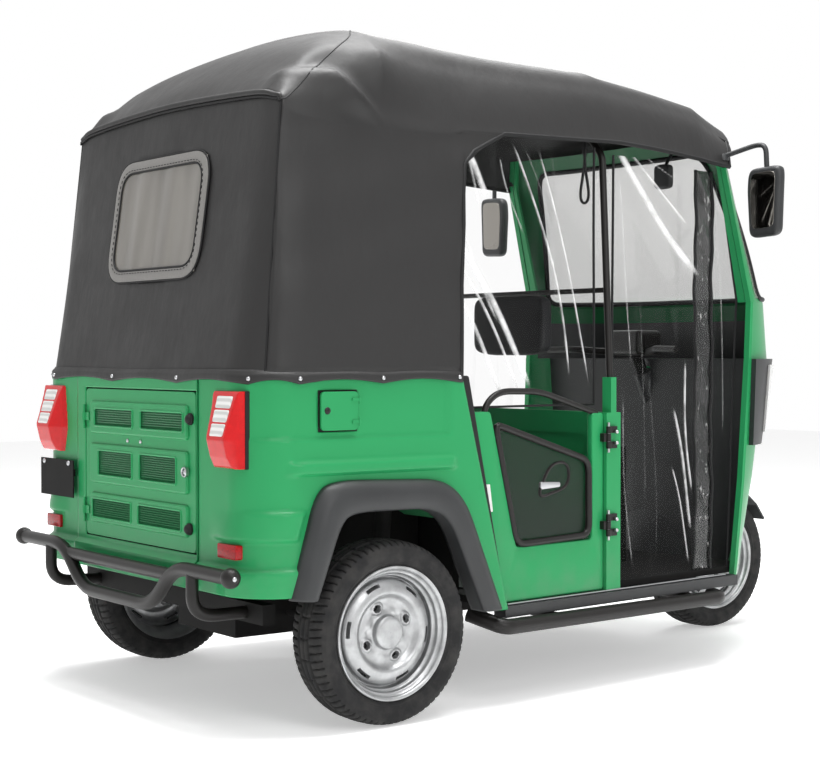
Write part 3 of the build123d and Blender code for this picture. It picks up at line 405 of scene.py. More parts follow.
def make_finishes(colours):
    """Makes every material once, from the colour properties."""
    paint = Finish("body_paint", Roughness=0.36, Coat_Weight=0.12, Coat_Roughness=0.06,
                   Specular_IOR_Level=0.16)
    cloud = paint.noise(2.2, 2)
    clean = paint.span(paint.axis("Z"), 0.28, 0.62)
    film = 0.22 * (1 - clean) * paint.span(paint.noise(16, 5), 0.4, 0.75)
    base = paint.mix(cloud * 0.25, tuple(colours.body), shade(colours.body, 0.88))
    paint.vary(film, base, tint(112, 128, 112))
    paint.bump(paint.noise(420, 2), 0.04, 0.0004)

    # The body paint at 0.40 of its colour: painted shade for the hatch louvres, the inner arches and the
    # screen lining
    louvre = Finish("louvre_paint", Base_Color=shade(colours.body, 0.40), Roughness=0.55,
                    Specular_IOR_Level=0.2, Coat_Weight=0.15)

    vinyl = Finish("canopy_vinyl", Specular_IOR_Level=0.46)
    worn = vinyl.noise(5.5, 6, 0.6)
    vinyl.vary(worn, shade(colours.canopy, 0.82), shade(colours.canopy, 1.22))
    vinyl.set("Roughness", vinyl.span(worn, 0.3, 0.7, 0.46, 0.62))
    soft = vinyl.bump(vinyl.noise(13, 4, 0.5, (1, 1, 0.45)), 0.55, 0.006)
    vinyl.bump(vinyl.noise(780, 2), 0.22, 0.0005, soft)

    trim = Finish("black_plastic", Roughness=0.44, Specular_IOR_Level=0.35)
    trim.vary(trim.noise(9, 4), shade(colours.trim, 0.85), shade(colours.trim, 1.5))
    trim.bump(trim.noise(900, 2), 0.14, 0.0004)

    lacquer = Finish("frame_lacquer", Roughness=0.4, Specular_IOR_Level=0.3)
    lacquer.vary(lacquer.noise(30, 4), shade(colours.frame, 0.8), shade(colours.frame, 1.35))

    dull = Finish("chassis_black", Roughness=0.7, Specular_IOR_Level=0.15)
    dull.vary(dull.noise(14, 5), tint(14, 14, 15), tint(30, 29, 28))

    rubber = Finish("rubber", Base_Color=tint(18, 18, 19), Roughness=0.6, Specular_IOR_Level=0.3)
    tyre = Finish("tyre_rubber", Roughness=0.75, Specular_IOR_Level=0.25)
    dust = tyre.span(tyre.noise(28, 6), 0.38, 0.72)
    tyre.vary(dust, tint(27, 27, 28), tint(50, 49, 48))
    tyre.bump(tyre.noise(340, 3), 0.16, 0.0008)

    steel = Finish("rim_steel", Metallic=0.82)
    grime = steel.span(steel.noise(22, 6), 0.35, 0.75)
    steel.vary(grime, tuple(colours.rim), shade(colours.rim, 0.62))
    steel.set("Roughness", steel.span(grime, 0, 1, 0.3, 0.5))
    bright = Finish("bright_steel", Base_Color=tint(178, 179, 181), Metallic=1.0, Roughness=0.28)
    mirror = Finish("mirror_glass", Base_Color=tint(150, 146, 140), Metallic=1.0, Roughness=0.04)

    # The pale grey at 0.3 alpha is a painted reflection of the white studio in the windscreen
    glass = Finish("screen_glass", Base_Color=tint(176, 174, 168), Roughness=0.05, Alpha=0.3)
    pane = Finish("tinted_pane", Base_Color=tint(52, 54, 52), Roughness=0.1, Alpha=0.24)
    clear = Finish("clear_film", Roughness=0.12, Coat_Weight=0.3)
    # Where the crease attribute is high the film turns white and more opaque: painted highlights along the
    # creases, broken up by noise
    line = clear.node("ShaderNodeAttribute", {"attribute_name": "crease"}, output="Fac")
    clear.vary(clear.span(line, 0.15, 0.7), tint(72, 73, 73), tint(242, 242, 242))
    broken = clear.span(clear.noise(15, 3), 0.36, 0.56, 0.45, 1.0)
    streak = clear.span(clear.noise(5, 4, 0.55, (2.6, 2.6, 0.4)), 0.56, 0.72, 0.0, 0.12)
    clear.set("Alpha", clear.span(line, 0.35, 0.95, 0.0, 0.78) * broken + streak + 0.04)
    clear.bump(clear.noise(7, 2, 0.5, (1.4, 1.4, 0.5)), 0.3, 0.012)
    band = Finish("zip_band", Roughness=0.25, Coat_Weight=0.4, Alpha=0.74)
    # White spots on the dark band: painted glints
    painted_glints = band.span(band.noise(46, 5, 0.7, (1.5, 1.5, 0.6)), 0.60, 0.70)
    band.vary(painted_glints, tint(24, 25, 25), tint(205, 205, 203))
    window = Finish("rear_window_film", Roughness=0.2, Coat_Weight=0.3, Alpha=0.9)
    fold = window.noise(13, 1, 0.4, (1.0, 1.0, 0.06))
    window.vary(window.span(fold, 0.35, 0.7), tint(104, 100, 94), tint(126, 122, 115))
    window.bump(fold, 0.4, 0.006)

    border = Finish("window_border", Roughness=0.5)
    border.vary(border.noise(200, 2), tint(112, 110, 107), tint(134, 132, 129))
    # The weak red emission is a painted glow: light shining through the red plastic of an unlit lamp
    red = Finish("red_lens", Roughness=0.14, Coat_Weight=0.15, Specular_IOR_Level=0.25,
                 Emission_Color=tuple(colours.lens), Emission_Strength=0.16)
    red.vary(red.noise(60, 2), tuple(colours.lens), shade(colours.lens, 0.7))
    reflex = Finish("reflector", Roughness=0.2, Specular_IOR_Level=0.3)
    facet = reflex.node("ShaderNodeTexVoronoi", inputs={"Vector": reflex.where(), "Scale": 260.0})
    reflex.vary(facet, tint(186, 8, 16), tint(132, 4, 10))
    lamp = Finish("clear_lens", Roughness=0.12, Coat_Weight=0.3)
    wave = lamp.node("ShaderNodeTexWave", inputs={"Vector": lamp.where(), "Scale": 60.0})
    ribs = lamp.span(wave, 0.2, 0.8)
    lamp.vary(ribs, tint(196, 196, 194), tint(228, 228, 226))

    seat = Finish("seat_cover", Roughness=0.6, Specular_IOR_Level=0.25)
    seat.vary(seat.noise(20, 4), shade(colours.seat, 0.8), shade(colours.seat, 1.4))
    seat.bump(seat.noise(620, 2), 0.25, 0.0006)
    # Near black: painted shade for the rims' slots and lug holes, which are dished rather than cut through
    dark = Finish("dark_void", Base_Color=tint(8, 8, 9), Roughness=0.9)
    made = {
        "paint": paint, "louvre": louvre, "vinyl": vinyl, "trim": trim, "lacquer": lacquer, "dull": dull,
        "rubber": rubber, "tyre": tyre, "steel": steel, "bright": bright, "mirror": mirror, "glass": glass,
        "pane": pane, "clear": clear, "band": band, "window": window, "border": border, "red": red,
        "reflex": reflex, "lamp": lamp, "seat": seat, "dark": dark}
    FINISH.update({key: value.material for key, value in made.items()})


NODE_FINISH = {
    "paint": "b_posts charge_flap cowl hatch partition",
    # The inner arches take the shaded green: painted shade
    "louvre": "inner_arches",
    "trim": "dashboard front_guard headlamp_housings sills floor_mat",
    "lacquer": "canopy_frame post_hinges side_steps handlebar",
    "dull": ("number_plate battery_pack bench_base chassis_cross chassis_rails drive_unit floor_pan fork"
             " rear_suspension seat_box"),
    "pane": "door_pane_left door_pane_right",
    "lamp": "headlamp_lenses",
}
WELD, SLIVER = 2e-5, 1e-6


def piece(name, part, finish, body="body", replaces=(), thick=0.0, sharp=40.0):
    """One object from (vertices, faces), welded, shaded smooth below the sharp angle and riding a body."""
    vertices, faces = part
    mesh = bpy.data.meshes.new(name)
    mesh.from_pydata((np.asarray(vertices) + [AXLE, 0, 0]).tolist(), [], faces)
    work = bmesh.new()
    work.from_mesh(mesh)
    bmesh.ops.remove_doubles(work, verts=work.verts, dist=WELD)
    bmesh.ops.dissolve_degenerate(work, edges=work.edges, dist=SLIVER)
    if thick == 0:
        bmesh.ops.recalc_face_normals(work, faces=work.faces)
    work.to_mesh(mesh)
    work.free()
    mesh.polygons.foreach_set("use_smooth", np.ones(len(mesh.polygons), bool))
    mesh.set_sharp_from_angle(angle=math.radians(sharp))
    made = bpy.data.objects.new(name, mesh)
    bpy.context.scene.collection.objects.link(made)
    mesh.materials.append(FINISH[finish])
    if thick:
        solid = made.modifiers.new("thickness", "SOLIDIFY")
        solid.thickness, solid.offset = thick, -1
    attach(made, body)
    if replaces:
        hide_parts(*replaces)
    return made


# Canopy
BOWS = np.array([
    # x, eave half, eave z, shoulder half, shoulder z, top half, top z, crown z
    [0.03, 0.600, 1.660, 0.555, 1.836, 0.440, 1.926, 1.958],
    [0.38, 0.596, 1.668, 0.552, 1.832, 0.436, 1.920, 1.956],
    [0.908, 0.584, 1.680, 0.538, 1.822, 0.425, 1.899, 1.933],
    [1.480, 0.561, 1.655, 0.526, 1.772, 0.405, 1.845, 1.880],
    [1.660, 0.545, 1.642, 0.505, 1.722, 0.392, 1.782, 1.815]])
REAR_BOWS = np.array([
    # x and z of the crown, then x, half and z of top, shoulder, eave; x and half of the hem
    [-0.312, 1.728, -0.308, 0.450, 1.715, -0.303, 0.570, 1.700, -0.300, 0.592, 1.690, -0.370, 0.622],
    [-0.250, 1.800, -0.246, 0.452, 1.776, -0.252, 0.556, 1.744, -0.266, 0.598, 1.672, -0.325, 0.648],
    [-0.150, 1.880, -0.148, 0.450, 1.858, -0.155, 0.550, 1.796, -0.172, 0.602, 1.664, -0.225, 0.656],
    [-0.055, 1.930, -0.055, 0.445, 1.902, -0.058, 0.552, 1.824, -0.062, 0.601, 1.661, -0.095, 0.656]])
SIDE_FRONT = [(TUB_FRONT, TUB_TOP), (0.308, 1.560), (0.348, 1.600), (0.470, 1.660), (2.0, 1.700)]
RIDGES = (
    # x and z of the foot, x and z of the head, rise, width, share of the length where it ends
    ((-0.028, 1.673), (-0.165, 1.787), 0.042, 0.110, 1.08),
    ((0.060, 1.735), (0.041, 1.925), 0.036, 0.100, 0.86))
REAR_STEPS, ROW_STEPS, LIP_STEPS = 7, 9, 6
CREST_ROW = len(REAR_BOWS) * REAR_STEPS
HEADER_HALF, HEADER_HEM = REAR_BOWS[0, 9], REAR_BOWS[0, 12]
HEM_ROUND, HEM_PROUD, HEM_STEPS = 0.150, 0.009, 420
HEM_BEND = (TUB_REAR + HEM_ROUND, HEM_HALF - HEM_ROUND)
LEAN_X, LEAN_TOP, CLOTH_DRAW = -0.311, 1.722, 0.006
ROOF_NOSE, FRONT_BOW = BOWS[-1, 0], 0.176
HEADER_LOW = 1.722
STUDS_REAR, STUDS_SIDE, STUD_CORNER = (0.5245, 0.126, -0.263), (-0.286, -0.016, 0.250), (-0.400, 0.594)
STUD_Z, STUD_TURN, STUD_PROUD, STUD_RISE = 0.951, math.radians(35), 0.0085, 0.005
WINDOW_Y, WINDOW_Z = (-0.273, 0.258), (1.241, 1.581)


def half_row(low, eave, shoulder, top):
    """One side's control points at a station, from the hem up."""
    return [low, blend(low, eave, 0.45), blend(low, eave, 0.9), eave, shoulder, top]


def canopy_rows():
    """Control points (station, right hem to left hem, xyz) of the canopy, from rear header to front."""
    rows = []
    for cx, cz, tx, ty, tz, sx, sy, sz, ex, ey, ez, hx, hy in REAR_BOWS:
        hem, eave = np.array([hx, -hy, TUB_TOP]), np.array([ex, -ey, ez])
        half = half_row(hem, eave, [sx, -sy, sz], [tx, -ty, tz])
        rows.append((half, [cx, 0, cz]))
    edge = np.linspace(TUB_FRONT, SIDE_FRONT[1][0], 8)
    roof = np.linspace(0.55, ROOF_NOSE, 26)
    stations = np.concatenate([[0.03, 0.10, 0.18, 0.23], edge, [0.328, 0.348, 0.40, 0.47], roof])
    columns = [np.interp(stations, BOWS[:, 0], BOWS[:, i]) for i in range(1, 8)]
    for x, ey, ez, sy, sz, ty, tz, cz in zip(stations, *columns):
        bend = FRONT_BOW * ease(1.05, ROOF_NOSE, x)
        push = [bend * (half / BOWS[-1, 1]) ** 2 for half in (ey, sy, ty)]
        eave = np.array([x - push[0], -ey, ez])
        hem = np.array([x - push[0], -HEM_HALF, TUB_TOP])
        low = np.interp(x, *zip(*SIDE_FRONT)) if x > TUB_FRONT else TUB_TOP
        low = blend(hem, eave, np.clip((min(low, ez - 0.006) - TUB_TOP) / (ez - TUB_TOP), 0, 1))
        half = half_row(low, eave, [x - push[1], -sy, sz], [x - push[2], -ty, tz])
        rows.append((half, [x, 0, cz]))
    grid = [half + [crown] + [[p[0], -p[1], p[2]] for p in half[::-1]] for half, crown in rows]
    return np.array([[np.asarray(p, float) for p in row] for row in grid])


def canopy_grid():
    """The main cloth, Catmull-Rom curves along and across the rows; also its columns from hem to eave."""
    rows = canopy_rows()
    start = len(REAR_BOWS) + 1
    rows = np.concatenate([through(rows[:start], REAR_STEPS), rows[start:]])
    grid = through(rows.transpose(1, 0, 2), ROW_STEPS).transpose(1, 0, 2)
    return grid, 3 * ROW_STEPS


def canopy_relief(grid, sag):
    """Pushes the cloth along its normals: sag between hoops, soft bow lines, folds and ridges."""
    du, dv = np.gradient(grid, axis=0), np.gradient(grid, axis=1)
    normal = np.cross(du, dv)
    normal /= np.linalg.norm(normal, axis=2)[..., None] + 1e-9
    x, y, z = grid[..., 0], grid[..., 1], grid[..., 2]
    roof = ease(1.70, 1.86, z)
    between = np.sin(np.pi * np.clip((x - 0.03) / 0.85, 0, 1)) ** 2
    lift = -sag * between * roof * ease(0.10, 0.35, x)
    lift = lift + 0.005 * hump(x, 0.03, 0.035) * roof + 0.004 * hump(x, 0.908, 0.03) * ease(1.68, 1.78, z)
    wall = ease(1.02, 1.2, z) * (1 - ease(1.56, 1.66, z)) * (np.abs(y) > 0.55)
    lift = lift + 0.004 * wall * np.sin(17 * x + 6 * z) + 0.0025 * wall * np.sin(31 * z - 9 * x)
    flank = ease(0.44, 0.53, np.abs(y))
    for low, high, rise, wide, end in RIDGES:
        along = (z - low[1]) / (high[1] - low[1])
        behind = blend(low[0], high[0], along) - x
        ridge = np.where(behind > 0, np.exp(-np.abs(behind) / wide), hump(behind, 0, 0.4 * wide))
        lift = lift + rise * ridge * flank * ease(-0.35, 0.35, along) * (1 - ease(end - 0.35, end, along))
    tall = ease(0.98, 1.15, z) * (1 - ease(1.45, 1.62, z)) * (np.abs(y) > 0.55)
    lift = lift + 0.009 * hump(x, -0.245, 0.050) * tall
    side = np.sign(np.sum(normal * np.stack([x * 0, y, z - 1.3], axis=-1), axis=2))[..., None]
    return grid + normal * side * lift[..., None]


def rear_cloth(header, wall):
    """The rear panel: straight columns from the header line down to the rounded hem, drawn in a little."""
    half = np.abs(header[:, 1])
    reach = header[:, 1] * (HEADER_HEM / HEADER_HALF)
    over = np.clip(np.abs(reach) - HEM_BEND[1], 0, HEM_ROUND - 0.001)
    hem_x = HEM_BEND[0] - np.sqrt(HEM_ROUND**2 - over**2)
    hem = np.stack([hem_x, reach, np.full(len(half), TUB_TOP)], axis=1)
    t = np.linspace(0, 1, wall + 1)[:, None, None]
    cloth = blend(hem[None], header[None], t)
    inner = np.clip(1 - (half / HEADER_HALF) ** 6, 0, 1)[None]
    cloth[..., 0] += CLOTH_DRAW * np.sin(np.pi * t[..., 0]) * inner
    return cloth


class RICKSHAW_OT_finishes(bpy.types.Operator):
    """Makes the materials and puts one on every node shown as it was built"""

    bl_idname = "rickshaw.finishes"
    bl_label = "Finishes"

    def execute(self, context):
        make_finishes(context.scene.rickshaw_colours)
        for finish, names in NODE_FINISH.items():
            for name in names.split():
                mesh = frame["nodes"][name].data
                mesh.materials.clear()
                mesh.materials.append(FINISH[finish])
        return {"FINISHED"}


class RICKSHAW_OT_canopy(bpy.types.Operator):
    """Stretches the vinyl canopy over its hoops, with piped seams, hem and rear window"""

    bl_idname = "rickshaw.canopy"
    bl_label = "Canopy"

    def execute(self, context):
        sizes = context.scene.rickshaw_sizes
        plain, wall = canopy_grid()
        grid = canopy_relief(plain, sizes.sag)
        grid[0] = plain[0]
        front = grid[-1]
        drop = np.linspace(0, 1, LIP_STEPS + 1)[1:, None]
        lip = np.repeat(front[None], LIP_STEPS, axis=0)
        lip[..., 2] = blend(front[None, :, 2], np.minimum(front[None, :, 2], HEADER_LOW), drop)
        lip[..., 0] += 0.016 * np.sin(np.pi * drop) * ease(1.65, 1.70, front[None, :, 2])
        grid = np.concatenate([grid, lip])
        rear = rear_cloth(plain[0, wall:-wall], wall)
        rear[:, 0], rear[:, -1] = plain[0, :wall + 1], plain[0, ::-1][:wall + 1]
        middle = (rear[:-1, :-1] + rear[1:, 1:]) / 2
        y, z = middle[..., 1], middle[..., 2]
        (y0, y1), (z0, z1) = WINDOW_Y, WINDOW_Z
        hole = ((2 * y - y0 - y1) / (y1 - y0)) ** 4 + ((2 * z - z0 - z1) / (z1 - z0)) ** 4 < 0.8
        cloth = join(surface(grid[:, ::-1]), surface(rear, keep=~hole))
        nodes = ("canopy_roof", "canopy_rear", "canopy_sides")
        sheet = piece("canopy_cloth", cloth, "vinyl", replaces=nodes, thick=0.003, sharp=60)
        extra = [*self.trims(grid, wall, sizes), self.hem(), *self.window()]
        return {"FINISHED"}

    def trims(self, grid, wall, sizes):
        """The rolled header, the piped seams and the bound edges."""
        header = grid[0, wall:-wall]
        swell = np.sin(np.pi * np.linspace(0, 1, len(header))) ** 0.5
        roll = tube(header + swell[:, None] * [-0.003, 0, 0.010], sizes.piping * (0.8 + 1.2 * swell), 16)
        roll = piece("canopy_roll", roll, "vinyl")
        pipes = [tube(header + [-0.006, 0, -0.003], sizes.piping * 0.8)]
        rows = np.arange(CREST_ROW + 1)
        climb = np.linspace(0, 2 * ROW_STEPS, len(rows))
        low = wall + np.floor(climb).astype(int)
        hip = blend(grid[rows, low], grid[rows, low + 1], (climb % 1)[:, None])
        hip = hip + [-0.001, -0.001, 0.002]
        crest = grid[CREST_ROW, wall + ROW_STEPS:-wall - ROW_STEPS]
        for seam in (hip, grid[0, :wall + 1]):
            pipes += [tube(seam, sizes.piping * 0.55), tube(seam * [1, -1, 1], sizes.piping * 0.55)]
        edge = grid[CREST_ROW + 3:-LIP_STEPS, 0]
        pipes += [tube(edge, sizes.piping * 1.5), tube(edge * [1, -1, 1], sizes.piping * 1.5)]
        pipes.append(tube(grid[-1], sizes.piping * 1.4))
        pipes.append(tube(crest, sizes.piping * 0.4))
        return [roll, piece("canopy_piping", join(*pipes), "rubber")]

    def hem(self):
        """The hem band: the hem's plan path by height, its foot scalloped up between the studs."""
        turn = np.linspace(0, np.pi / 2, 13)
        bend = HEM_BEND + (HEM_ROUND + HEM_PROUD) * np.stack([-np.sin(turn), np.cos(turn)], axis=1)
        half = np.concatenate([[[TUB_FRONT, HEM_HALF + HEM_PROUD]], bend])
        path = spaced(np.concatenate([half, half[::-1] * [1, -1]]), HEM_STEPS)
        side = [(x, HEM_HALF) for x in STUDS_SIDE[::-1]] + [STUD_CORNER]
        marks = side + [(TUB_REAR, y) for y in STUDS_REAR] + [(x, -y) for x, y in side[::-1]]
        near = [int(np.argmin(np.linalg.norm(path - mark, axis=1))) for mark in np.array(marks)]
        beat = np.interp(np.arange(HEM_STEPS), near, np.arange(len(near)))
        foot = STUD_Z - 0.015 + 0.012 * np.abs(np.sin(np.pi * beat))
        t = np.linspace(0, 1, 7)
        z = blend(foot[:, None], 0.976, t[None])
        inset = 0.013 * ease(0.5, 1.0, t)[None, :, None]
        away = path - [-0.1, 0]
        away /= np.linalg.norm(away, axis=1)[:, None]
        plan = path[:, None] - away[:, None] * inset
        grid = np.concatenate([plan, z[..., None]], axis=2)
        return piece("canopy_hem", surface(grid), "vinyl", thick=0.002)

    def window(self):
        """The rear window: a clear sheet bulged by slow folds and a crowned border sewn round it."""
        t = np.linspace(0, 1, 40)
        (y0, y1), (z0, z1) = WINDOW_Y, WINDOW_Z
        y, z = pairs(blend(y0 + 0.006, y1 - 0.006, t), blend(z0 + 0.006, z1 - 0.006, t))
        pane = on_lean(y, z, 0.0035 + 0.0012 * np.sin(38 * y + 3 * z) + 0.0006 * np.sin(71 * y))
        pane = piece("rear_window_sheet", surface(pane), "window", replaces=("rear_window",))

        def frame_line(grow, rise):
            line = rounded(rectangle(y0, y1, z0, z1, grow), 0.085 + grow, 10)
            line = spaced(looped(line), 180)
            return on_lean(line[:, 0], line[:, 1], rise)

        ring = np.stack([frame_line(grow, rise) for grow, rise in (
            (0.012, 0.001), (0.010, 0.006), (0.004, 0.0080),
            (-0.008, 0.0084), (-0.018, 0.0075), (-0.022, 0.003))])
        border = piece("rear_window_border", surface(ring[:, :-1], wrap_v=True), "border")
        seams = [tube(frame_line(0.013, 0.003), 0.003, 8), tube(frame_line(-0.023, 0.0055), 0.0030, 8)]
        stitch = frame_line(-0.014, 0.0088)
        for i in range(0, 178, 2):
            seams.append(tube(stitch[i:i + 2], 0.0011, 6))
        seams = piece("rear_window_seams", join(*seams), "rubber")
        return [pane, border, seams]


def on_lean(y, z, out):
    """The leaning rear cloth: y to the left, z up, out rearward."""
    lean = np.interp(z, [TUB_TOP, LEAN_TOP], [TUB_REAR, LEAN_X])
    drawn = CLOTH_DRAW * np.sin(np.pi * (z - TUB_TOP) / (LEAN_TOP - TUB_TOP))
    return xyz(lean + drawn - out, y, z)


# Tub
ARCH_OUTER = [
    (-0.318, 0.368), (-0.234, 0.655), (-0.160, 0.676),
    (0.185, 0.664), (0.262, 0.604), (0.394, 0.285)]
ARCH_INNER = [
    (-0.250, 0.364), (-0.170, 0.575), (-0.120, 0.594),
    (0.128, 0.592), (0.200, 0.552), (0.319, 0.285)]
TUB_LOW, REAR_LOW, LEDGE_TOP = 0.277, 0.375, 0.440
LEDGE_OUT, LEDGE_FALL = 0.013, 0.014
# Heights where a pressing starts, is full, begins to end and is gone, and its depth
SWAGE, SWAGE_OUT = (0.690, 0.702, 0.722, 0.738), 0.014
RECESS, RECESS_IN = (0.786, 0.798), 0.008
BOSS, BOSS_OUT = (0.516, 0.530), 0.012
SEAM_Y = 0.3695
HATCH = (-0.362, 0.306, 0.472, 0.912)
FLAP = (-0.220, -0.101, 0.812, 0.916)
GAP = 0.004


def lines(low, high, step, *marks):
    """Sorted samples from low to high about a step apart that include every mark."""
    stops = [low] + sorted(m for m in marks if low < m < high) + [high]
    spans = [np.linspace(a, b, max(2, int(round((b - a) / step)) + 1))
             for a, b in zip(stops[:-1], stops[1:])]
    return np.unique(np.round(np.concatenate(spans), 6))


def inside(x, z, corners):
    """Whether points lie in a polygon, by counting the edges crossed to the right."""
    hit = np.zeros(np.shape(x), bool)
    for (x0, z0), (x1, z1) in zip(corners, corners[1:] + corners[:1]):
        if z0 != z1:
            hit ^= ((z0 > z) != (z1 > z)) & (x < (x1 - x0) * (z - z0) / (z1 - z0) + x0)
    return hit


def ledge(z):
    """How far the lower ledge stands proud at height z."""
    return LEDGE_OUT * (1 - ease(LEDGE_TOP, LEDGE_TOP + LEDGE_FALL, z))


def quarter(cut_flap):
    """One quarter panel: its plan path (rear, round corner, side) by height, the pressings as relief."""
    straight = TUB_HALF - TUB_CORNER - SEAM_Y
    turn = TUB_CORNER * math.pi / 2
    side = straight + turn
    start = TUB_REAR + TUB_CORNER
    hinge = 0.06
    marks = [FLAP[0] - GAP - start + side, FLAP[1] + GAP - start + side, hinge - start + side]
    s = lines(0, side + TUB_FRONT - start, 0.006, straight, side, *marks)
    z = lines(TUB_LOW, TUB_TOP, 0.0045, REAR_LOW, FLAP[2] - GAP, FLAP[3] + GAP)
    s, z = pairs(s, z)
    angle = np.clip((s - straight) / TUB_CORNER, 0, math.pi / 2)
    x = np.where(s < side, start - TUB_CORNER * np.cos(angle), start + s - side)
    y = np.where(s < straight, -SEAM_Y - s, -TUB_HALF + TUB_CORNER * (1 - np.sin(angle)))
    front = TUB_FRONT + TUB_RAKE * (TUB_TOP - z) / (TUB_TOP - TUB_LOW)
    x = np.where(x > hinge, hinge + (x - hinge) * (front - hinge) / (TUB_FRONT - hinge), x)
    runs = ease(side - 0.05, side + 0.02, s) * (1 - ease(0.215, 0.245, x))
    out = SWAGE_OUT * runs * ease(*SWAGE[:2], z) * (1 - ease(*SWAGE[2:], z))
    runs = ease(side - 0.16, side - 0.10, s) * (1 - ease(0.20, 0.23, x))
    out = out - RECESS_IN * runs * ease(*RECESS, z)
    out = out + ledge(z) * (1 - ease(-0.28, -0.22, x))
    slow, crisp = (1 - ease(low, 0.608, z) for low in (0.530, 0.592))
    soft = blend(slow, crisp, ease(straight + 0.04, straight + 0.14, s))
    ends = np.interp(z, [ARCH_OUTER[0][1], ARCH_OUTER[1][1]], [ARCH_OUTER[0][0], ARCH_OUTER[1][0]]) - 0.012
    boss = ease(straight - 0.10, straight, s) * (1 - ease(ends - 0.02, ends, x))
    out = out + BOSS_OUT * boss * ease(*BOSS, z) * soft
    grid = np.stack([x - out * np.cos(angle), y - out * np.sin(angle), z], axis=-1)
    cx, cz = x[:-1, :-1] + 0.003, z[:-1, :-1] + 0.002
    middle = [((a[0] + b[0]) / 2, (a[1] + b[1]) / 2) for a, b in zip(ARCH_OUTER, ARCH_INNER)]
    hollow = inside(cx, cz, [(middle[0][0], 0.2)] + middle + [(middle[-1][0], 0.2)])
    hollow |= (cx < 0) & (cz < REAR_LOW)
    if cut_flap:
        hollow |= (cx > FLAP[0] - GAP) & (cx < FLAP[1] + GAP) & (cz > FLAP[2] - GAP) & (cz < FLAP[3] + GAP)
    return surface(grid, keep=~hollow)


def rear_skin():
    """The flat rear panel by y and height, open at the hatch, with the ledge."""
    low_y, high_y, low_z, high_z = HATCH[0] - GAP, HATCH[1] + GAP, HATCH[2] - GAP, HATCH[3] + GAP
    y = lines(-SEAM_Y + 0.0012, SEAM_Y, 0.008, low_y, high_y)
    z = lines(REAR_LOW, TUB_TOP, 0.0045, low_z, high_z)
    y, z = pairs(y, z)
    grid = on_rear(y, z, ledge(z))
    cy, cz = y[:-1, :-1] + 0.001, z[:-1, :-1] + 0.001
    return surface(grid, keep=~((cy > low_y) & (cy < high_y) & (cz > low_z) & (cz < high_z)))


def flare():
    """A wheel flare: sections from the outer to the inner arch line, crowned outward and turned in."""
    outer = spaced(rounded(ARCH_OUTER, 0.07, 9, closed=False), 150)
    inner = spaced(rounded(ARCH_INNER, 0.06, 9, closed=False), 150)
    section = np.array([
        [0.00, -0.002], [0.00, 0.008], [0.03, 0.015], [0.10, 0.0225], [0.22, 0.0305],
        [0.36, 0.0360], [0.52, 0.0380], [0.72, 0.0375], [0.88, 0.0345], [0.96, 0.0310],
        [1.00, 0.0250], [1.00, 0.008], [1.00, -0.03]])
    section = through(section, 4)
    flat = blend(outer[:, None], inner[:, None], section[None, :, :1])
    return on_wall(flat[..., 0], flat[..., 1], section[None, :, 1])


class RICKSHAW_OT_tub(bpy.types.Operator):
    """Presses the painted rear tub: quarter panels, rear panel, rebates and wheel flares"""

    bl_idname = "rickshaw.tub"
    bl_label = "Tub"

    def execute(self, context):
        right = quarter(True)
        points, cells = quarter(False)
        left = (points * [1, -1, 1], [cell[::-1] for cell in cells])
        piece("quarter_skins", join(right, left), "paint", replaces=("quarter_panels",),
              thick=0.004)
        piece("rear_skin", rear_skin(), "paint", replaces=("rear_panel",), thick=0.004)
        pocket = slab(rounded(rectangle(*FLAP, 0.02), 0.01), on_wall, -0.016, -0.009, 0.001)
        socket = [(0.0002, 0.004), (0.018, 0.004), (0.018, -0.002), (0.026, -0.002), (0.028, 0.004)]
        socket = lathe(socket, 32, (sum(FLAP[:2]) / 2, -TUB_HALF + 0.008, sum(FLAP[2:]) / 2))
        rebate = np.stack([on_rear(line[:, 0], line[:, 1], deep) for line, deep in (
            (self.rim(0.012), -0.0045), (self.rim(0.012), -0.022), (self.rim(-0.022), -0.024))])
        rebate = surface(rebate, wrap_v=True)
        piece("tub_rebates", join(pocket, socket, rebate), "dull")
        piece("flare_skins", mirrored(surface(flare())), "trim", replaces=("arch_flares",),
              thick=0.003)
        return {"FINISHED"}

    def rim(self, grow):
        """The hatch opening's outline, grown outward."""
        return rounded(rectangle(*HATCH, grow), 0.012, 5)


# Hatch
WINDOWS = (
    (0.801, 0.855, (0.085, 0.457), (0.530, 0.895)), (0.654, 0.730, (0.142, 0.467), (0.536, 0.858)),
    (0.526, 0.584, (0.100, 0.482), (0.546, 0.919)))
BAND_OUT = 0.012
BUFFERS, LOCK_AT = ((-0.337, 0.838), (-0.331, 0.536)), (-0.318, 0.692)
BUFFER_FOOT = [(0.0002, 0.003), (0.0165, 0.003), (0.0165, -0.003), (0.0145, -0.005)]
LOCK_RING = [(0.0145, 0.004), (0.0145, -0.005), (0.0125, -0.007), (0.0100, -0.005), (0.0095, 0.002)]


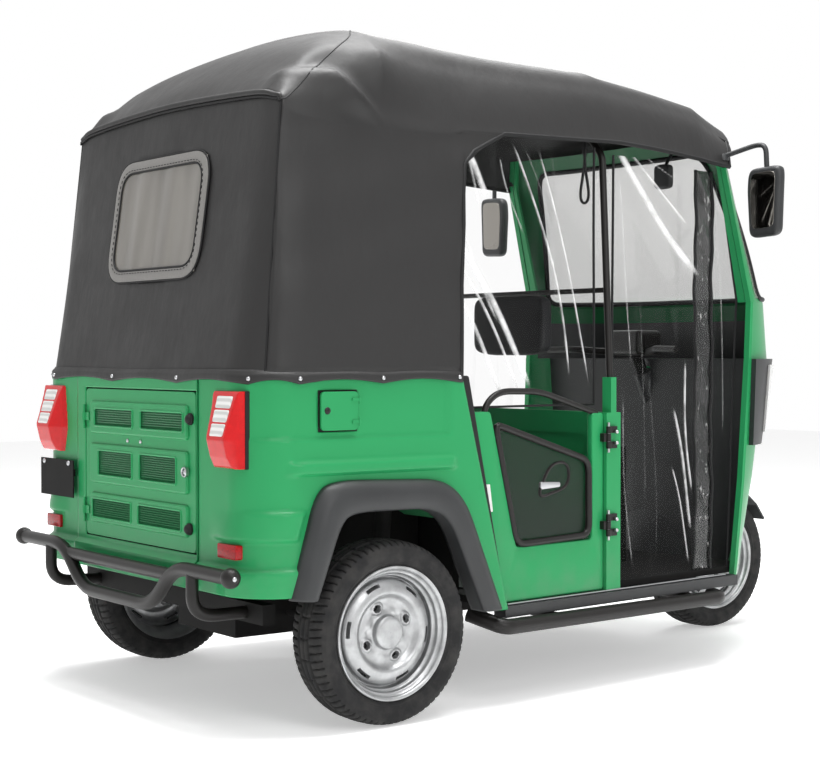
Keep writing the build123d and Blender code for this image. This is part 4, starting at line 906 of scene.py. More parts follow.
class RICKSHAW_OT_hatch(bpy.types.Operator):
    """Fits the hatch's fine louvres, their pressed lips, the lock, buffers and screws"""

    bl_idname = "rickshaw.hatch"
    bl_label = "Hatch"

    def execute(self, context):
        wide = HATCH[1] - HATCH[0]
        slats, lips = [], []
        for low, high, *spans in WINDOWS:
            for start, end in spans:
                y0, y1 = HATCH[0] + start * wide, HATCH[0] + end * wide
                count = int((high - low) / 0.0062)
                z = np.repeat(np.linspace(low, high, count + 1), 2)[1:-1]
                deep = np.tile([BAND_OUT - 0.0045, BAND_OUT - 0.0005], count)
                y = np.array([y0, (y0 + y1) / 2, y1])
                slats.append(surface(on_rear(y[:, None], z[None], deep[None])))
                line = looped(rounded(rectangle(y0, y1, low, high), 0.008, 5))
                lips.append(tube(on_rear(line[:, 0], line[:, 1], BAND_OUT), 0.0032, 8))
        # The louvres take the shaded green: painted shade between the slats
        piece("hatch_louvres", join(*slats), "louvre", "rear_hatch", ("hatch_grilles",),
              sharp=20)
        piece("hatch_lips", join(*lips), "paint", "rear_hatch")
        black = [dome(0.0145, -0.013, (-0.434, *spot), "x") for spot in BUFFERS]
        black += [lathe(BUFFER_FOOT, 24, (-0.432, *spot), "x") for spot in BUFFERS]
        piece("hatch_buffers", join(*black), "rubber", "rear_hatch")
        bright = [lathe(LOCK_RING, 28, (-0.437, *LOCK_AT), "x")]
        bright.append(dome(0.0088, -0.006, (-0.436, *LOCK_AT), "x"))
        bright += [dome(0.006, -0.004, (-0.430, y, 0.764), "x") for y in (-0.045, 0.035)]
        piece("hatch_lock", join(*bright), "bright", "rear_hatch")
        return {"FINISHED"}


# Bumper
BUMPER_OUT, BAR_HALF, BAR_Z, MIDDLE_Z, STAY_Y, STAY_Z = 0.060, 0.640, 0.438, 0.413, -0.440, 0.312
BAR_TUBE, MIDDLE_TUBE, STAY_TUBE, BALL = 0.0195, 0.0185, 0.0175, 0.027


class RICKSHAW_OT_bumper(bpy.types.Operator):
    """Bends the rear bumper's tubes, with ball ends and their bolts"""

    bl_idname = "rickshaw.bumper"
    bl_label = "Bumper"

    def execute(self, context):
        x = TUB_REAR - BUMPER_OUT
        half = [(x, BAR_HALF, BAR_Z), (x, 0.345, BAR_Z), (x, 0.215, 0.318)]
        bar = rounded(half + [(a, -b, c) for a, b, c in half[::-1]], 0.070, 10, closed=False)
        middle = np.linspace((x + 0.006, -0.318, MIDDLE_Z), (x + 0.006, 0.318, MIDDLE_Z), 12)
        parts = [tube(spaced(bar, 120), BAR_TUBE, 20), tube(middle, MIDDLE_TUBE, 20)]
        stay = [(x, STAY_Y, BAR_Z), (x, STAY_Y, STAY_Z), (-0.315, STAY_Y, STAY_Z)]
        stay = rounded(stay, 0.075, 10, closed=False)
        t = np.linspace(-np.pi / 2, np.pi / 2, 15)
        ball = np.stack([BALL * np.cos(t) + 1e-5, BALL * np.sin(t)], axis=1)
        ball = lathe(ball, 28, (x, -BAR_HALF, BAR_Z))
        parts.append(mirrored(join(tube(spaced(stay, 50), STAY_TUBE, 18), ball)))
        piece("bumper_tubes", join(*parts), "lacquer", replaces=("rear_bumper",),
              sharp=50)
        bolt = dome(0.007, -0.004, (x - 0.002, -0.6645, BAR_Z))
        piece("bumper_bolts", mirrored(bolt), "bright")
        return {"FINISHED"}


# Wheels
TYRE_STEPS, RIM_STEPS, BARREL_STEPS, SIPES, NICKS = 576, 360, 96, 72, 27
LUGS, LUG_AT, LUG_TURN = 4, 0.0725, 0.28
SLOTS, SLOT_AT, SLOT_TURN = 6, 0.1330, 0.87
HOLES = (
    # count, radius of their ring, turn of the first, half width, half height, offset
    (LUGS, LUG_AT, LUG_TURN, 0.0125, 0.0100, 0.0175),
    (SLOTS, SLOT_AT, SLOT_TURN, 0.0215, 0.0034, 0.0240))


def tyre(depth):
    """A tyre: a Catmull-Rom section turned about y, its tread cut by ribs and shoulder sipes."""
    half = [
        (0.174, 0.046), (0.180, 0.056), (0.190, 0.063), (0.206, 0.070), (0.222, 0.0725),
        (0.236, 0.0695), (0.2455, 0.0625), (0.2515, 0.0460), (0.2535, 0.0230)]
    section = through(half + [(0.254, 0)] + [(r, -h) for r, h in half[::-1]], 6)
    a = np.linspace(0, 2 * np.pi, TYRE_STEPS, endpoint=False)[None]
    r, h = section[:, :1] + 0 * a, section[:, 1:] + 0 * a
    cut = hump(np.abs(h), 0.021, 0.0035) + hump(h, 0, 0.003) * 0.8
    wave = np.mod(a * SIPES / (2 * np.pi) + 0.25 * np.sign(h) + 6 * np.abs(h), 1.0)
    sipe = hump(wave, 0.5, 0.10) * ease(0.026, 0.030, np.abs(h)) * ease(0.238, 0.243, r)
    rib = np.mod(a * NICKS / (2 * np.pi) + 4 * np.abs(h), 1.0)
    nick = hump(rib, 0.5, 0.05) * (np.abs(h) < 0.018) * 0.7
    ring = 0.0012 * (hump(r, 0.1975, 0.0012) + hump(r, 0.228, 0.0012))
    r = r - depth * np.clip((cut + sipe + nick) * ease(0.236, 0.244, r), 0, 1)
    h = h + np.sign(h) * ring
    return spun(r, h, a)


def rim():
    """A pressed rim: a section of (radius, offset) turned about y, dished at its slots and lug holes."""
    face = [
        (0.0005, 0.0500), (0.030, 0.0500), (0.041, 0.0485), (0.0455, 0.0440), (0.0470, 0.0330),
        (0.0500, 0.0290), (0.060, 0.0270), (0.070, 0.0262), (0.084, 0.0262), (0.092, 0.0280),
        (0.0985, 0.0340), (0.104, 0.0405), (0.109, 0.0432), (0.116, 0.0432), (0.126, 0.0410),
        (0.138, 0.0350), (0.1445, 0.0290), (0.147, 0.0220), (0.150, 0.0150), (0.1535, 0.0180),
        (0.1550, 0.0300), (0.1590, 0.0340), (0.1625, 0.0390), (0.1645, 0.0480), (0.1690, 0.0510),
        (0.1725, 0.0550), (0.1745, 0.0610), (0.1785, 0.0650), (0.1825, 0.0655), (0.1845, 0.0630),
        (0.1840, 0.0590), (0.178, 0.0550), (0.172, 0.0500)]
    section = through(face, 5)
    a = np.linspace(0, 2 * np.pi, RIM_STEPS, endpoint=False)[None]
    r, h = section[:, :1] + 0 * a, section[:, 1:] + 0 * a
    lug = np.mod(a / (2 * np.pi) * LUGS - LUG_TURN, 1.0)
    slot = np.mod(a / (2 * np.pi) * SLOTS - SLOT_TURN, 1.0)
    lug = np.minimum(lug, 1 - lug) * 2 * np.pi / LUGS * LUG_AT
    slot = np.minimum(slot, 1 - slot) * 2 * np.pi / SLOTS * SLOT_AT
    lug_away = np.hypot((r - LUG_AT) / 0.0100, lug / 0.0125)
    slot_away = np.maximum(np.abs(r - SLOT_AT) / 0.0042, slot / 0.0230)
    pit = (1 - ease(0.82, 1.0, lug_away)) + (1 - ease(0.80, 1.0, slot_away))
    boss = 0.0050 * (1 - ease(1.3, 1.9, lug_away)) + 0.0022 * np.cos(8 * (a - 0.4)) * hump(r, 0.060, 0.008)
    h = h - 0.016 * pit + boss
    return spun(r, -h, a)


class RICKSHAW_OT_wheels(bpy.types.Operator):
    """Moulds the tyres and presses the steel rims"""

    bl_idname = "rickshaw.wheels"
    bl_label = "Wheels"

    def execute(self, context):
        depth = context.scene.rickshaw_sizes.tread
        hubs = {"rear_right": (0, -HUB_HALF, 1), "rear_left": (0, HUB_HALF, -1), "front": (FRONT_HUB, 0, 1)}
        rubber = tyre(depth)
        disc = rim()
        # Thin near-black plates in each slot and lug hole: painted shade in place of open holes
        hole_shade_plates = []
        for count, away, first, wide, tall, out in HOLES:
            for i in range(count):
                turn = 2 * np.pi * (i + first) / count
                outline = rounded(rectangle(-wide, wide, -tall, tall), min(wide, tall) * 0.9, 5)

                def facing(a, b, deep, turn=turn, away=away):
                    along, up = away + b, -a
                    return xyz(along * math.cos(turn) - up * math.sin(turn), -deep,
                               along * math.sin(turn) + up * math.cos(turn))

                hole_shade_plates.append(slab(outline, facing, out - 0.003, out, 0.0005))
        barrel = surface(self.barrel(), wrap_v=True)
        for name, (x, y, way) in hubs.items():
            at = np.array([x, y, HUB_HEIGHT])
            body = f"wheel_{name}"
            piece(f"tyre_{name}_moulded", surface(rubber + at, wrap_v=True), "tyre", body,
                  (f"tyre_{name}",))
            points, cells = flipped(join(surface(disc, wrap_v=True), barrel), way)
            piece(f"rim_{name}_pressed", (points + at, cells), "steel", body, (f"rim_{name}",))
            points, cells = flipped(join(*hole_shade_plates), way)
            piece(f"rim_{name}_holes", (points + at, cells), "dark", body)
        return {"FINISHED"}

    def barrel(self):
        """The rim's well behind the disc: a closed section turned about y."""
        section = np.array([
            (0.172, -0.050), (0.180, -0.058), (0.184, -0.064), (0.184, -0.066), (0.176, -0.062),
            (0.160, -0.030), (0.150, 0.010), (0.158, 0.040), (0.176, 0.062), (0.184, 0.066),
            (0.184, 0.064), (0.176, 0.054), (0.164, 0.030), (0.156, 0.010), (0.166, -0.030),
            (0.172, -0.050)])
        a = np.linspace(0, 2 * np.pi, BARREL_STEPS, endpoint=False)[None]
        r, h = section[:, :1], section[:, 1:] + 0 * a
        return spun(r, h, a)


# Doors
DOOR = [(0.185, 0.290), (0.615, 0.290), (0.615, 0.836), (0.564, 0.836), (0.564, 0.450), (0.238, 0.450),
        (0.143, 0.812), (0.133, 0.850), (0.060, 0.850)]
DOOR_SEAL = [(0.000, 0.955), (0.030, 0.955), (0.181, 0.283), (0.152, 0.283)]
DOOR_HINGES = (0.490, 0.760)
DOOR_OUT, DOOR_BACK = -0.014, -0.038
PIN_U, PIN_OUT = 0.618, 0.004


class RICKSHAW_OT_doors(bpy.types.Operator):
    """Builds the half doors: skins, tube frames, rails, hinges, levers and seals"""

    bl_idname = "rickshaw.doors"
    bl_label = "Doors"

    def execute(self, context):
        skin = slab(rounded(DOOR, 0.012, 5), on_side, DOOR_BACK, DOOR_OUT, 0.005)
        strip = rounded([(0.120, 0.560), (0.140, 0.560), (0.128, 0.640), (0.108, 0.640)], 0.003, 4)
        strip = slab(strip, on_side, DOOR_OUT - 0.001, DOOR_OUT + 0.002, 0.0008)
        corners = [(0.152, 0.812), (0.190, 0.802), (0.550, 0.692), (0.552, 0.464), (0.240, 0.456)]
        line = rounded(corners, 0.035, 8)
        line = spaced(looped(line), 140)
        frame_tube = tube(on_side(line[:, 0], line[:, 1], -0.017), 0.0105)
        rail = [(0.112, 0.800), (0.118, 0.868), (0.176, 0.908), (0.346, 0.905), (0.592, 0.835)]
        rail = spaced(rounded(rail, 0.050, 9, closed=False), 80)
        frame_tube = join(frame_tube, tube(on_side(rail[:, 0], rail[:, 1], -0.026), 0.0095))
        for z in DOOR_HINGES:
            leaf = rounded(rectangle(0.598, 0.616, z - 0.013, z + 0.013), 0.003, 4)
            leaf = slab(leaf, on_side, DOOR_OUT, PIN_OUT, 0.001)
            knuckle = on_side(np.full(9, PIN_U), np.linspace(z - 0.012, z + 0.012, 9), PIN_OUT)
            frame_tube = join(frame_tube, leaf, tube(knuckle, 0.008))
        grip = rounded([(0.330, 0.585), (0.470, 0.615), (0.470, 0.690), (0.390, 0.690)], 0.045, 8)
        grip = looped(grip)
        frame_tube = join(frame_tube, tube(on_side(grip[:, 0], grip[:, 1], -0.024), 0.005, 8))
        lever = rounded([(0.345, 0.612), (0.430, 0.616), (0.430, 0.632), (0.345, 0.636)], 0.007)
        lever = slab(lever, on_side, -0.030, -0.019, 0.003)
        pins = []
        for z in DOOR_HINGES:
            pin = on_side(np.full(5, PIN_U), np.linspace(z - 0.046, z + 0.046, 5), PIN_OUT)
            pins.append(tube(pin, 0.0042, 10))
        pins = join(*pins)
        for name, way in (("right", 1), ("left", -1)):
            body = f"door_{name}"
            piece(f"{body}_tube", flipped(frame_tube, way), "lacquer", body, (f"door_rail_{name}",))
            piece(f"{body}_lever", flipped(lever, way), "bright", body)
            piece(f"{body}_skin", flipped(skin, way), "paint", body, (body,))
            piece(f"{body}_pins", flipped(pins, way), "bright")
            piece(f"{body}_strip", flipped(strip, way), "lamp", body)
        seal = slab(rounded(DOOR_SEAL, 0.008, 5), on_side, -0.030, 0.004, 0.004)
        piece("door_seal_strips", mirrored(seal), "rubber", replaces=("door_seals",))
        return {"FINISHED"}


# Lamps
LAMP_LEVELS = (0.714, 0.790, 0.918)
LAMP_Z = LAMP_LEVELS[::2]
LAMP_FOOT = -0.594, -0.020
LAMP_PROFILE = [
    (0.714, 0.004), (0.7145, 0.012), (0.718, 0.020), (0.745, 0.034), (0.790, 0.045),
    (0.798, 0.0445), (0.910, 0.010), (0.9175, 0.006), (0.918, 0.004)]


def lamp_depth(y, z):
    """Depth of the right tail lamp over (y, z): a slanted face that falls away to both sides."""
    deep = np.interp(z, *zip(*LAMP_PROFILE))
    outer = np.interp(z, LAMP_LEVELS, [-0.572, -0.575, -0.581])
    inner = np.interp(z, LAMP_LEVELS, [-0.500, -0.500, -0.486])
    foot = np.interp(z, LAMP_LEVELS, [-0.468, -0.446, -0.462])
    outboard = np.clip((y - LAMP_FOOT[0]) / (outer - LAMP_FOOT[0]), 0, 1)
    inboard = np.clip((foot - y) / (foot - inner), 0, 1)
    return np.minimum(deep, 0.008 + deep * outboard * inboard) * ease(0, 0.006, foot - y)


def tail_lamp():
    """The right tail lamp's shell: lamp_depth over (y, z), its outer walls carried back to the body."""
    y = np.concatenate([LAMP_FOOT[:1], lines(LAMP_FOOT[0], -0.434, 0.003)])
    z = np.unique(np.concatenate([lines(*LAMP_Z, 0.0035), [0.7145, 0.7175, 0.9175]]))
    z = np.concatenate([LAMP_Z[:1], z, LAMP_Z[1:]])
    y, z = pairs(y, z)
    deep = lamp_depth(y, z)
    lit = np.maximum(np.maximum(deep[:-1, :-1], deep[1:, :-1]), np.maximum(deep[:-1, 1:], deep[1:, 1:])) > 0
    deep[0] = deep[:, 0] = deep[:, -1] = LAMP_FOOT[1]
    return surface(on_rear(y, z, deep), keep=lit)


class RICKSHAW_OT_lamps(bpy.types.Operator):
    """Moulds the tail lamps with red bodies, clear upper panes and gaskets, and the reflectors"""

    bl_idname = "rickshaw.lamps"
    bl_label = "Lamps"

    def execute(self, context):
        body = mirrored(tail_lamp())
        piece("tail_lamp_bodies", body, "red", replaces=("tail_lamps",))
        panes = []
        t = np.linspace(0, 1, 16)
        for low, high in ((0.7985, 0.8340), (0.8352, 0.8707), (0.8719, 0.907)):
            z = blend(low, high, t)[None]
            inner = np.interp(z, LAMP_LEVELS[1:], [-0.5010, -0.4875])
            outer = np.interp(z, LAMP_LEVELS[1:], [-0.5735, -0.5790])
            y = blend(outer, inner, t[:, None])
            edge = np.minimum(ease(0, 0.12, t), ease(0, 0.12, 1 - t))
            out = lamp_depth(y, z + 0 * y) - 0.001 + 0.0025 * edge[:, None] * edge[None]
            panes.append(surface(on_rear(y, z + 0 * y, out)))
        piece("tail_lamp_panes", mirrored(join(*panes)), "lamp")
        side, low, high = LAMP_FOOT[0], LAMP_Z[0] - 0.001, LAMP_Z[1] + 0.001
        edge = rounded(rectangle(side - 0.003, side + 0.080, low, high), 0.003, 4)
        gasket = slab(edge, on_rear, LAMP_FOOT[1] - 0.010, LAMP_FOOT[1] + 0.008, 0.001)
        piece("tail_lamp_gaskets", mirrored(gasket), "rubber")
        square = rectangle(-0.580, -0.484, 0.474, 0.513)
        reflex = slab(rounded(square, 0.006, 5), on_rear, -0.020, 0.009, 0.003)
        piece("reflector_lenses", mirrored(reflex), "reflex", replaces=("reflectors",))
        return {"FINISHED"}


# Cab front
CAB_ROWS = np.array([
    # z, rear edge and nose behind the front hub, width lost a side, half of the flat nose
    [1.000, 0.392, 0.040, 0.095, 0.067],
    [1.190, 0.381, 0.076, 0.097, 0.065],
    [1.634, 0.492, 0.375, 0.110, 0.060],
    [1.745, 0.520, 0.450, 0.150, 0.055]])
CAB_SPAN, CAB_WALL, CAB_SIDE = 0.62, 0.022, 0.59
LINING_IN = -CAB_WALL - 0.0015
SCREEN = [(-0.556, 1.207), (0.556, 1.207), (0.482, 1.692), (-0.482, 1.692)]
SCREEN_ROUND, SCREEN_MIDDLE, DASH_TOP = 0.045, 1.45, 1.135


def arc(a, b, c, steps):
    """The circular arc from a through b to c, about the point equally far from all three."""
    a, b, c = (np.asarray(point, float) for point in (a, b, c))
    centre = np.linalg.solve(2 * np.array([b - a, c - a]), [b @ b - a @ a, c @ c - a @ a])
    start, end = (math.atan2(*(point - centre)[::-1]) for point in (a, c))
    turn = (end - start + math.pi) % (2 * math.pi) - math.pi
    t = start + turn * np.linspace(0, 1, steps)
    return centre + np.linalg.norm(a - centre) * np.stack([np.cos(t), np.sin(t)], axis=1)


def cab_plan(row, out):
    """The plan of the cab front at one height, right to left: pillar, arc, crowned nose, and mirrored."""
    _, rear, nose, lost, flat = row
    back, front, half = FRONT_HUB - rear, FRONT_HUB - nose + out, TUB_HALF - lost + out
    start, shoulder, k = back + 0.012, front - 0.09 * flat, math.cos(math.pi / 4)
    middle = (start + (shoulder - start) * k, -half + (half - flat) * (1 - k))
    right = np.concatenate([[[back, -half]], arc((start, -half), middle, (shoulder, -flat), 60)])
    crown = arc((shoulder, -flat), (front, 0), (shoulder, flat), 20)[1:-1]
    return spaced(np.concatenate([right, crown, right[::-1] * [1, -1]]), 321)


def on_cab(a, z, out):
    """The cab front: a from right to left along the plan, z up, the plan grown outward by out."""
    share, z = np.broadcast_arrays(np.asarray(a, float) / CAB_SPAN, np.asarray(z, float))
    level = np.interp(z, CAB_ROWS[:, 0], np.arange(len(CAB_ROWS)))
    spot = np.zeros(z.shape + (3,))
    for number, row in enumerate(CAB_ROWS):
        plan = cab_plan(row, out)
        weight = np.clip(1 - np.abs(level - number), 0, 1)
        for axis in (0, 1):
            spot[..., axis] += weight * np.interp(share, np.linspace(-1, 1, len(plan)), plan[:, axis])
    spot[..., 2] = z
    return spot


class RICKSHAW_OT_cab(bpy.types.Operator):
    """Frames the windscreen, with its linings, its glass and the rubbers inside and outside"""

    bl_idname = "rickshaw.cab"
    bl_label = "Cab front"

    def execute(self, context):
        low, top = CAB_ROWS[1, 0], CAB_ROWS[-1, 0]
        corners = rounded(SCREEN, SCREEN_ROUND, 9)
        opening = spaced(looped(corners), 241)[:-1]
        ray = opening - [0, SCREEN_MIDDLE]
        room = np.where(ray[:, 1] > 0, top - SCREEN_MIDDLE, SCREEN_MIDDLE - low)
        reach = np.minimum(CAB_SPAN / (np.abs(ray[:, 0]) + 1e-9), room / (np.abs(ray[:, 1]) + 1e-9))
        border = ray * reach[:, None] + [0, SCREEN_MIDDLE]
        for spot in rectangle(-CAB_SPAN, CAB_SPAN, low, top):
            border[np.argmin(np.linalg.norm(border - spot, axis=1))] = spot
        share = np.linspace(0, 1, 6)[None, :, None]
        band = blend(opening[:, None], border[:, None], share)
        across, up = band[..., 0], band[..., 1]
        faces = [on_cab(across, up, 0), on_cab(across, up, -CAB_WALL)[:, ::-1]]
        shell = surface(np.concatenate(faces, axis=1), wrap_u=True, wrap_v=True)
        lining = surface(on_cab(across, up, LINING_IN), wrap_u=True)
        a, z = pairs(np.linspace(-CAB_SIDE, CAB_SIDE, 61), np.linspace(DASH_TOP, low, 4))
        lining = join(lining, surface(on_cab(a, z, LINING_IN)))
        # The lining takes the shaded green: painted shade inside the frame
        piece("screen_lining", lining, "louvre", sharp=60)
        a, z = pairs(np.linspace(-CAB_SIDE, CAB_SIDE, 61), np.linspace(CAB_ROWS[0, 0], DASH_TOP, 6))
        dash = surface(on_cab(a, z, -CAB_WALL - 0.002))
        piece("dash_lining", dash, "trim", sharp=60)
        z = CAB_ROWS[1:, 0]
        back, half = FRONT_HUB - CAB_ROWS[1:, 1], TUB_HALF - CAB_ROWS[1:, 3]
        inner = half - np.interp(z, [low, top], [0.062, 0.036])
        flange = [(back + 0.002, half - 0.006), (back + 0.012, half - 0.010),
                  (back + 0.012, inner), (back + 0.002, inner)]
        flange = np.array([[*np.broadcast_arrays(x, -y, z)] for x, y in flange]).transpose(2, 0, 1)
        piece("screen_frame_shell", join(shell, mirrored(surface(flange, wrap_v=True))), "paint",
              replaces=("screen_frame",), sharp=35)
        a, z = pairs(np.linspace(-CAB_SIDE, CAB_SIDE, 81), np.linspace(1.204, 1.700, 14))
        piece("screen_glass", surface(on_cab(a, z, 0.004)), "glass", replaces=("windscreen",),
              thick=0.004)
        loop = np.concatenate([opening, opening[:2]])
        rubber = [tube(on_cab(loop[:, 0], loop[:, 1], -CAB_WALL - 0.002), 0.009, 10)]
        wide = loop * [1.03, 1] + np.sign(loop - [0, SCREEN_MIDDLE]) * [0, 0.004]
        rubber.append(tube(on_cab(wide[:, 0], wide[:, 1], 0.003), 0.008, 10))
        piece("screen_rubbers", join(*rubber), "rubber", replaces=("screen_seal",))
        return {"FINISHED"}


# Soft goods
FILM_IN = -0.0445
FILM_LOW, FILM_TOP, SILL_TOP, FILM_SLACK = 0.862, 1.668, 0.288, 1.06
REAR_EDGES = (
    [(FILM_LOW, 0.012), (1.560, 0.052), (FILM_TOP, 0.200)],
    [(FILM_LOW, 0.606), (FILM_TOP, 0.606)])
FRONT_EDGES = (
    [(SILL_TOP, 0.694), (FILM_TOP, 0.694)],
    [(SILL_TOP, 1.262), (1.0, 1.305), (1.20, 1.315), (1.64, 1.215)])
CREASES = (
    # u and z of the start, u and z of the end, width, height, bow forward
    (0.03, 1.63, 0.15, 1.47, 0.014, 1.0, 0.010), (0.05, 1.60, 0.12, 1.44, 0.006, 0.8, 0.010),
    (0.01, 1.37, 0.34, 0.90, 0.013, 1.0, 0.012), (0.01, 1.31, 0.29, 0.89, 0.007, 0.9, 0.014),
    (0.01, 1.46, 0.20, 1.10, 0.006, 0.8, -0.010), (0.01, 1.22, 0.22, 0.88, 0.010, 0.9, 0.006),
    (0.25, 1.65, 0.50, 0.92, 0.006, 0.9, 0.040), (0.35, 1.64, 0.59, 0.90, 0.005, 0.9, 0.016),
    (0.29, 1.65, 0.44, 1.15, 0.004, 0.6, 0.040), (0.20, 1.60, 0.30, 1.36, 0.005, 0.7, -0.015),
    (0.40, 1.66, 0.48, 1.15, 0.003, 0.5, 0.015), (0.70, 1.66, 1.12, 1.26, 0.017, 1.0, -0.010),
    (0.75, 1.66, 1.06, 1.42, 0.007, 0.9, 0.010), (0.82, 1.66, 1.09, 1.53, 0.004, 0.7, 0.0),
    (0.71, 1.60, 0.78, 0.95, 0.004, 0.7, 0.006), (0.80, 1.50, 0.84, 0.45, 0.004, 0.5, 0.010),
    (0.98, 0.85, 1.08, 0.42, 0.010, 0.8, 0.012), (0.74, 0.90, 0.79, 0.30, 0.005, 0.6, -0.010),
    (0.97, 0.66, 1.07, 0.32, 0.006, 0.8, 0.010), (0.86, 0.98, 0.90, 0.32, 0.004, 0.5, 0.008),
    (1.04, 1.00, 1.08, 0.55, 0.007, 0.9, -0.008), (1.20, 1.62, 1.24, 0.70, 0.006, 0.6, 0.006))
ZIP = (1.100, 1.185)
BENCH_SEAMS = (-0.33, 0.33)


def crease(u, z):
    """How creased the film is at (u, z): the largest bell across any crease line, faded at its ends."""
    best = np.zeros(np.shape(u))
    for u0, z0, u1, z1, width, height, bow in CREASES:
        length = math.hypot(u1 - u0, z1 - z0)
        along = ((u - u0) * (u1 - u0) + (z - z0) * (z1 - z0)) / length**2
        wander = bow * np.sin(np.pi * along) + 0.005 * np.sin(5 * along + 20 * u0)
        off = ((u - u0) * (z1 - z0) - (z - z0) * (u1 - u0)) / length + wander
        fade = ease(-0.05, 0.10, along) * (1 - ease(0.85, 1.05, along))
        best = np.maximum(best, height * fade * hump(off, 0, width))
    return best


def film(left, right, low, high, height):
    """A clear sheet over (u, z) between two edge lines, thrown into creases and slow waves outward."""
    s, t = pairs(np.linspace(0, 1, 150), np.linspace(0, 1, 230))
    z = blend(low, high, t)
    u = blend(np.interp(z, *zip(*left)), np.interp(z, *zip(*right)), s)
    rise = height * crease(u, z) + 0.004 * np.sin(21 * u + 2.5 * z) * np.sin(np.pi * t) - 0.003
    return u, z, on_side(u, z, FILM_IN + np.minimum(rise, 0.0055))


def cushion(low, high, power=0.28, channels=(), deep=0.006):
    """A stuffed box: a superquadric between two corners, its sides pulled in by sewn channels along y."""
    low, high = np.array(low), np.array(high)
    a, b = pairs(np.linspace(-np.pi, np.pi, 121), np.linspace(-np.pi / 2, np.pi / 2, 61))

    def curve(value):
        return np.sign(value) * np.abs(value) ** power

    flat = curve(np.cos(b))
    unit = xyz(flat * curve(np.cos(a)), flat * curve(np.sin(a)), curve(np.sin(b)))
    pull = sum((hump(unit[..., 1], at, 0.025) for at in channels), np.zeros(a.shape))
    crown = 1 + 0.10 * (1 - unit[..., 0] ** 2) * (1 - unit[..., 1] ** 2) - deep * 4 * pull
    unit = unit * np.stack([crown, np.ones_like(crown), crown], axis=-1) / 1.10
    return surface((low + high) / 2 + unit * (high - low) / 2)


class RICKSHAW_OT_curtains(bpy.types.Operator):
    """Hangs the clear curtains on the right, with their zip band and bound edges"""

    bl_idname = "rickshaw.curtains"
    bl_label = "Curtains"

    def execute(self, context):
        height = context.scene.rickshaw_sizes.crease
        rear = film(*REAR_EDGES, FILM_LOW, 1.652, height)
        front = film(*FRONT_EDGES, SILL_TOP + 0.004, 1.636, height)
        edges, sheets = [], []
        for name, (u, z, points) in (("rear", rear), ("front", front)):
            made = piece(f"curtain_{name}", surface(points), "clear", sharp=180,
                         replaces=("curtains",) if name == "rear" else ())
            # The crease height is kept on the film as an attribute; the clear film paints its highlights
            # from it
            mark = made.data.attributes.new("crease", "FLOAT", "POINT")
            spots = np.empty(len(made.data.vertices) * 3)
            made.data.vertices.foreach_get("co", spots)
            spots = spots.reshape(-1, 3) - [AXLE, 0, 0]
            along = (spots[:, 0] - SIDE_X) * math.cos(SIDE_TAPER)
            along += (spots[:, 1] + SIDE_Y) * math.sin(SIDE_TAPER)
            mark.data.foreach_set("value", crease(along, spots[:, 2]))
            area = sum(face.area for face in made.data.polygons)
            wide, tall = np.ptp(u) * FILM_SLACK, np.ptp(z) * FILM_SLACK
            sheets.append((made, (round(wide, 3), round(tall, 3)), round(min(area, wide * tall), 3)))
            edges += [tube(points[:, 0], 0.0035, 8), tube(points[-1], 0.004, 8), tube(points[0], 0.004, 8)]
        u, z = pairs(np.linspace(*ZIP, 12), np.linspace(SILL_TOP, 1.62, 120))
        band = on_side(u, z, FILM_IN - 0.010 + 0.003 * np.sin(14 * z) + 0.002 * np.sin(41 * z + 50 * u))
        band_piece = piece("curtain_zip_band", surface(band), "band", thick=0.001)
        for side in (0, -1):
            edges.append(tube(band[side] + [0, -0.003, 0], 0.0055, 8))
        binding = piece("curtain_binding", join(*edges), "rubber")
        return {"FINISHED"}


class RICKSHAW_OT_seats(bpy.types.Operator):
    """Stuffs the driver's seat and the passenger bench"""

    bl_idname = "rickshaw.seats"
    bl_label = "Seats"

    def execute(self, context):
        pads = {
            "driver_cushion": ((1.000, -0.240, 0.700), (1.360, 0.240, 0.800), ("driver_seat",), (0,)),
            "driver_back": ((0.975, -0.200, 1.010), (1.035, 0.200, 1.220), (), (0,)),
            "bench_cushion": (
                (-0.090, -0.4525, 0.618), (0.425, 0.4525, 0.740), ("bench_seat",), BENCH_SEAMS),
            "bench_back": ((-0.190, -0.560, 0.618), (-0.095, 0.560, 1.180), (), BENCH_SEAMS)}
        for name, (low, high, nodes, channels) in pads.items():
            made = piece(name, cushion(low, high, channels=channels), "seat", replaces=nodes,
                         sharp=70)
        return {"FINISHED"}


# Mirrors and small trim
MIRROR = [
    (-0.628, 1.395), (-0.752, 1.400), (-0.761, 1.612),
    (-0.745, 1.627), (-0.625, 1.622), (-0.617, 1.560)]
MIRROR_ARM = [
    (1.464, -0.529, 1.668), (1.500, -0.649, 1.700),
    (1.500, -0.689, 1.694), (1.502, -0.693, 1.595)]


class RICKSHAW_OT_mirrors(bpy.types.Operator):
    """Moulds the two door mirrors with their arms and glass"""

    bl_idname = "rickshaw.mirrors"
    bl_label = "Mirrors"

    def execute(self, context):
        outline = rounded(MIRROR, 0.030, 7)

        def facing(a, b, deep):
            return xyz(1.518 - deep, a, b)

        middle = outline.mean(axis=0)
        shell = slab(outline, facing, 0, 0.034, 0.013)
        glass = slab(middle + (outline - middle) * [0.74, 0.80], facing, 0.030, 0.0352, 0.001)
        arm = tube(spaced(rounded(MIRROR_ARM, 0.028, 8, closed=False), 40), 0.0085)
        boss = lathe([(0.0002, 0.012), (0.016, 0.010), (0.020, 0.0), (0.020, -0.012), (0.0002, -0.014)], 24,
                     (1.466, -0.534, 1.668), "z")
        piece("mirror_shells", mirrored(join(shell, arm, boss)), "trim", replaces=("mirrors",))
        piece("mirror_panes", mirrored(glass), "mirror")
        return {"FINISHED"}


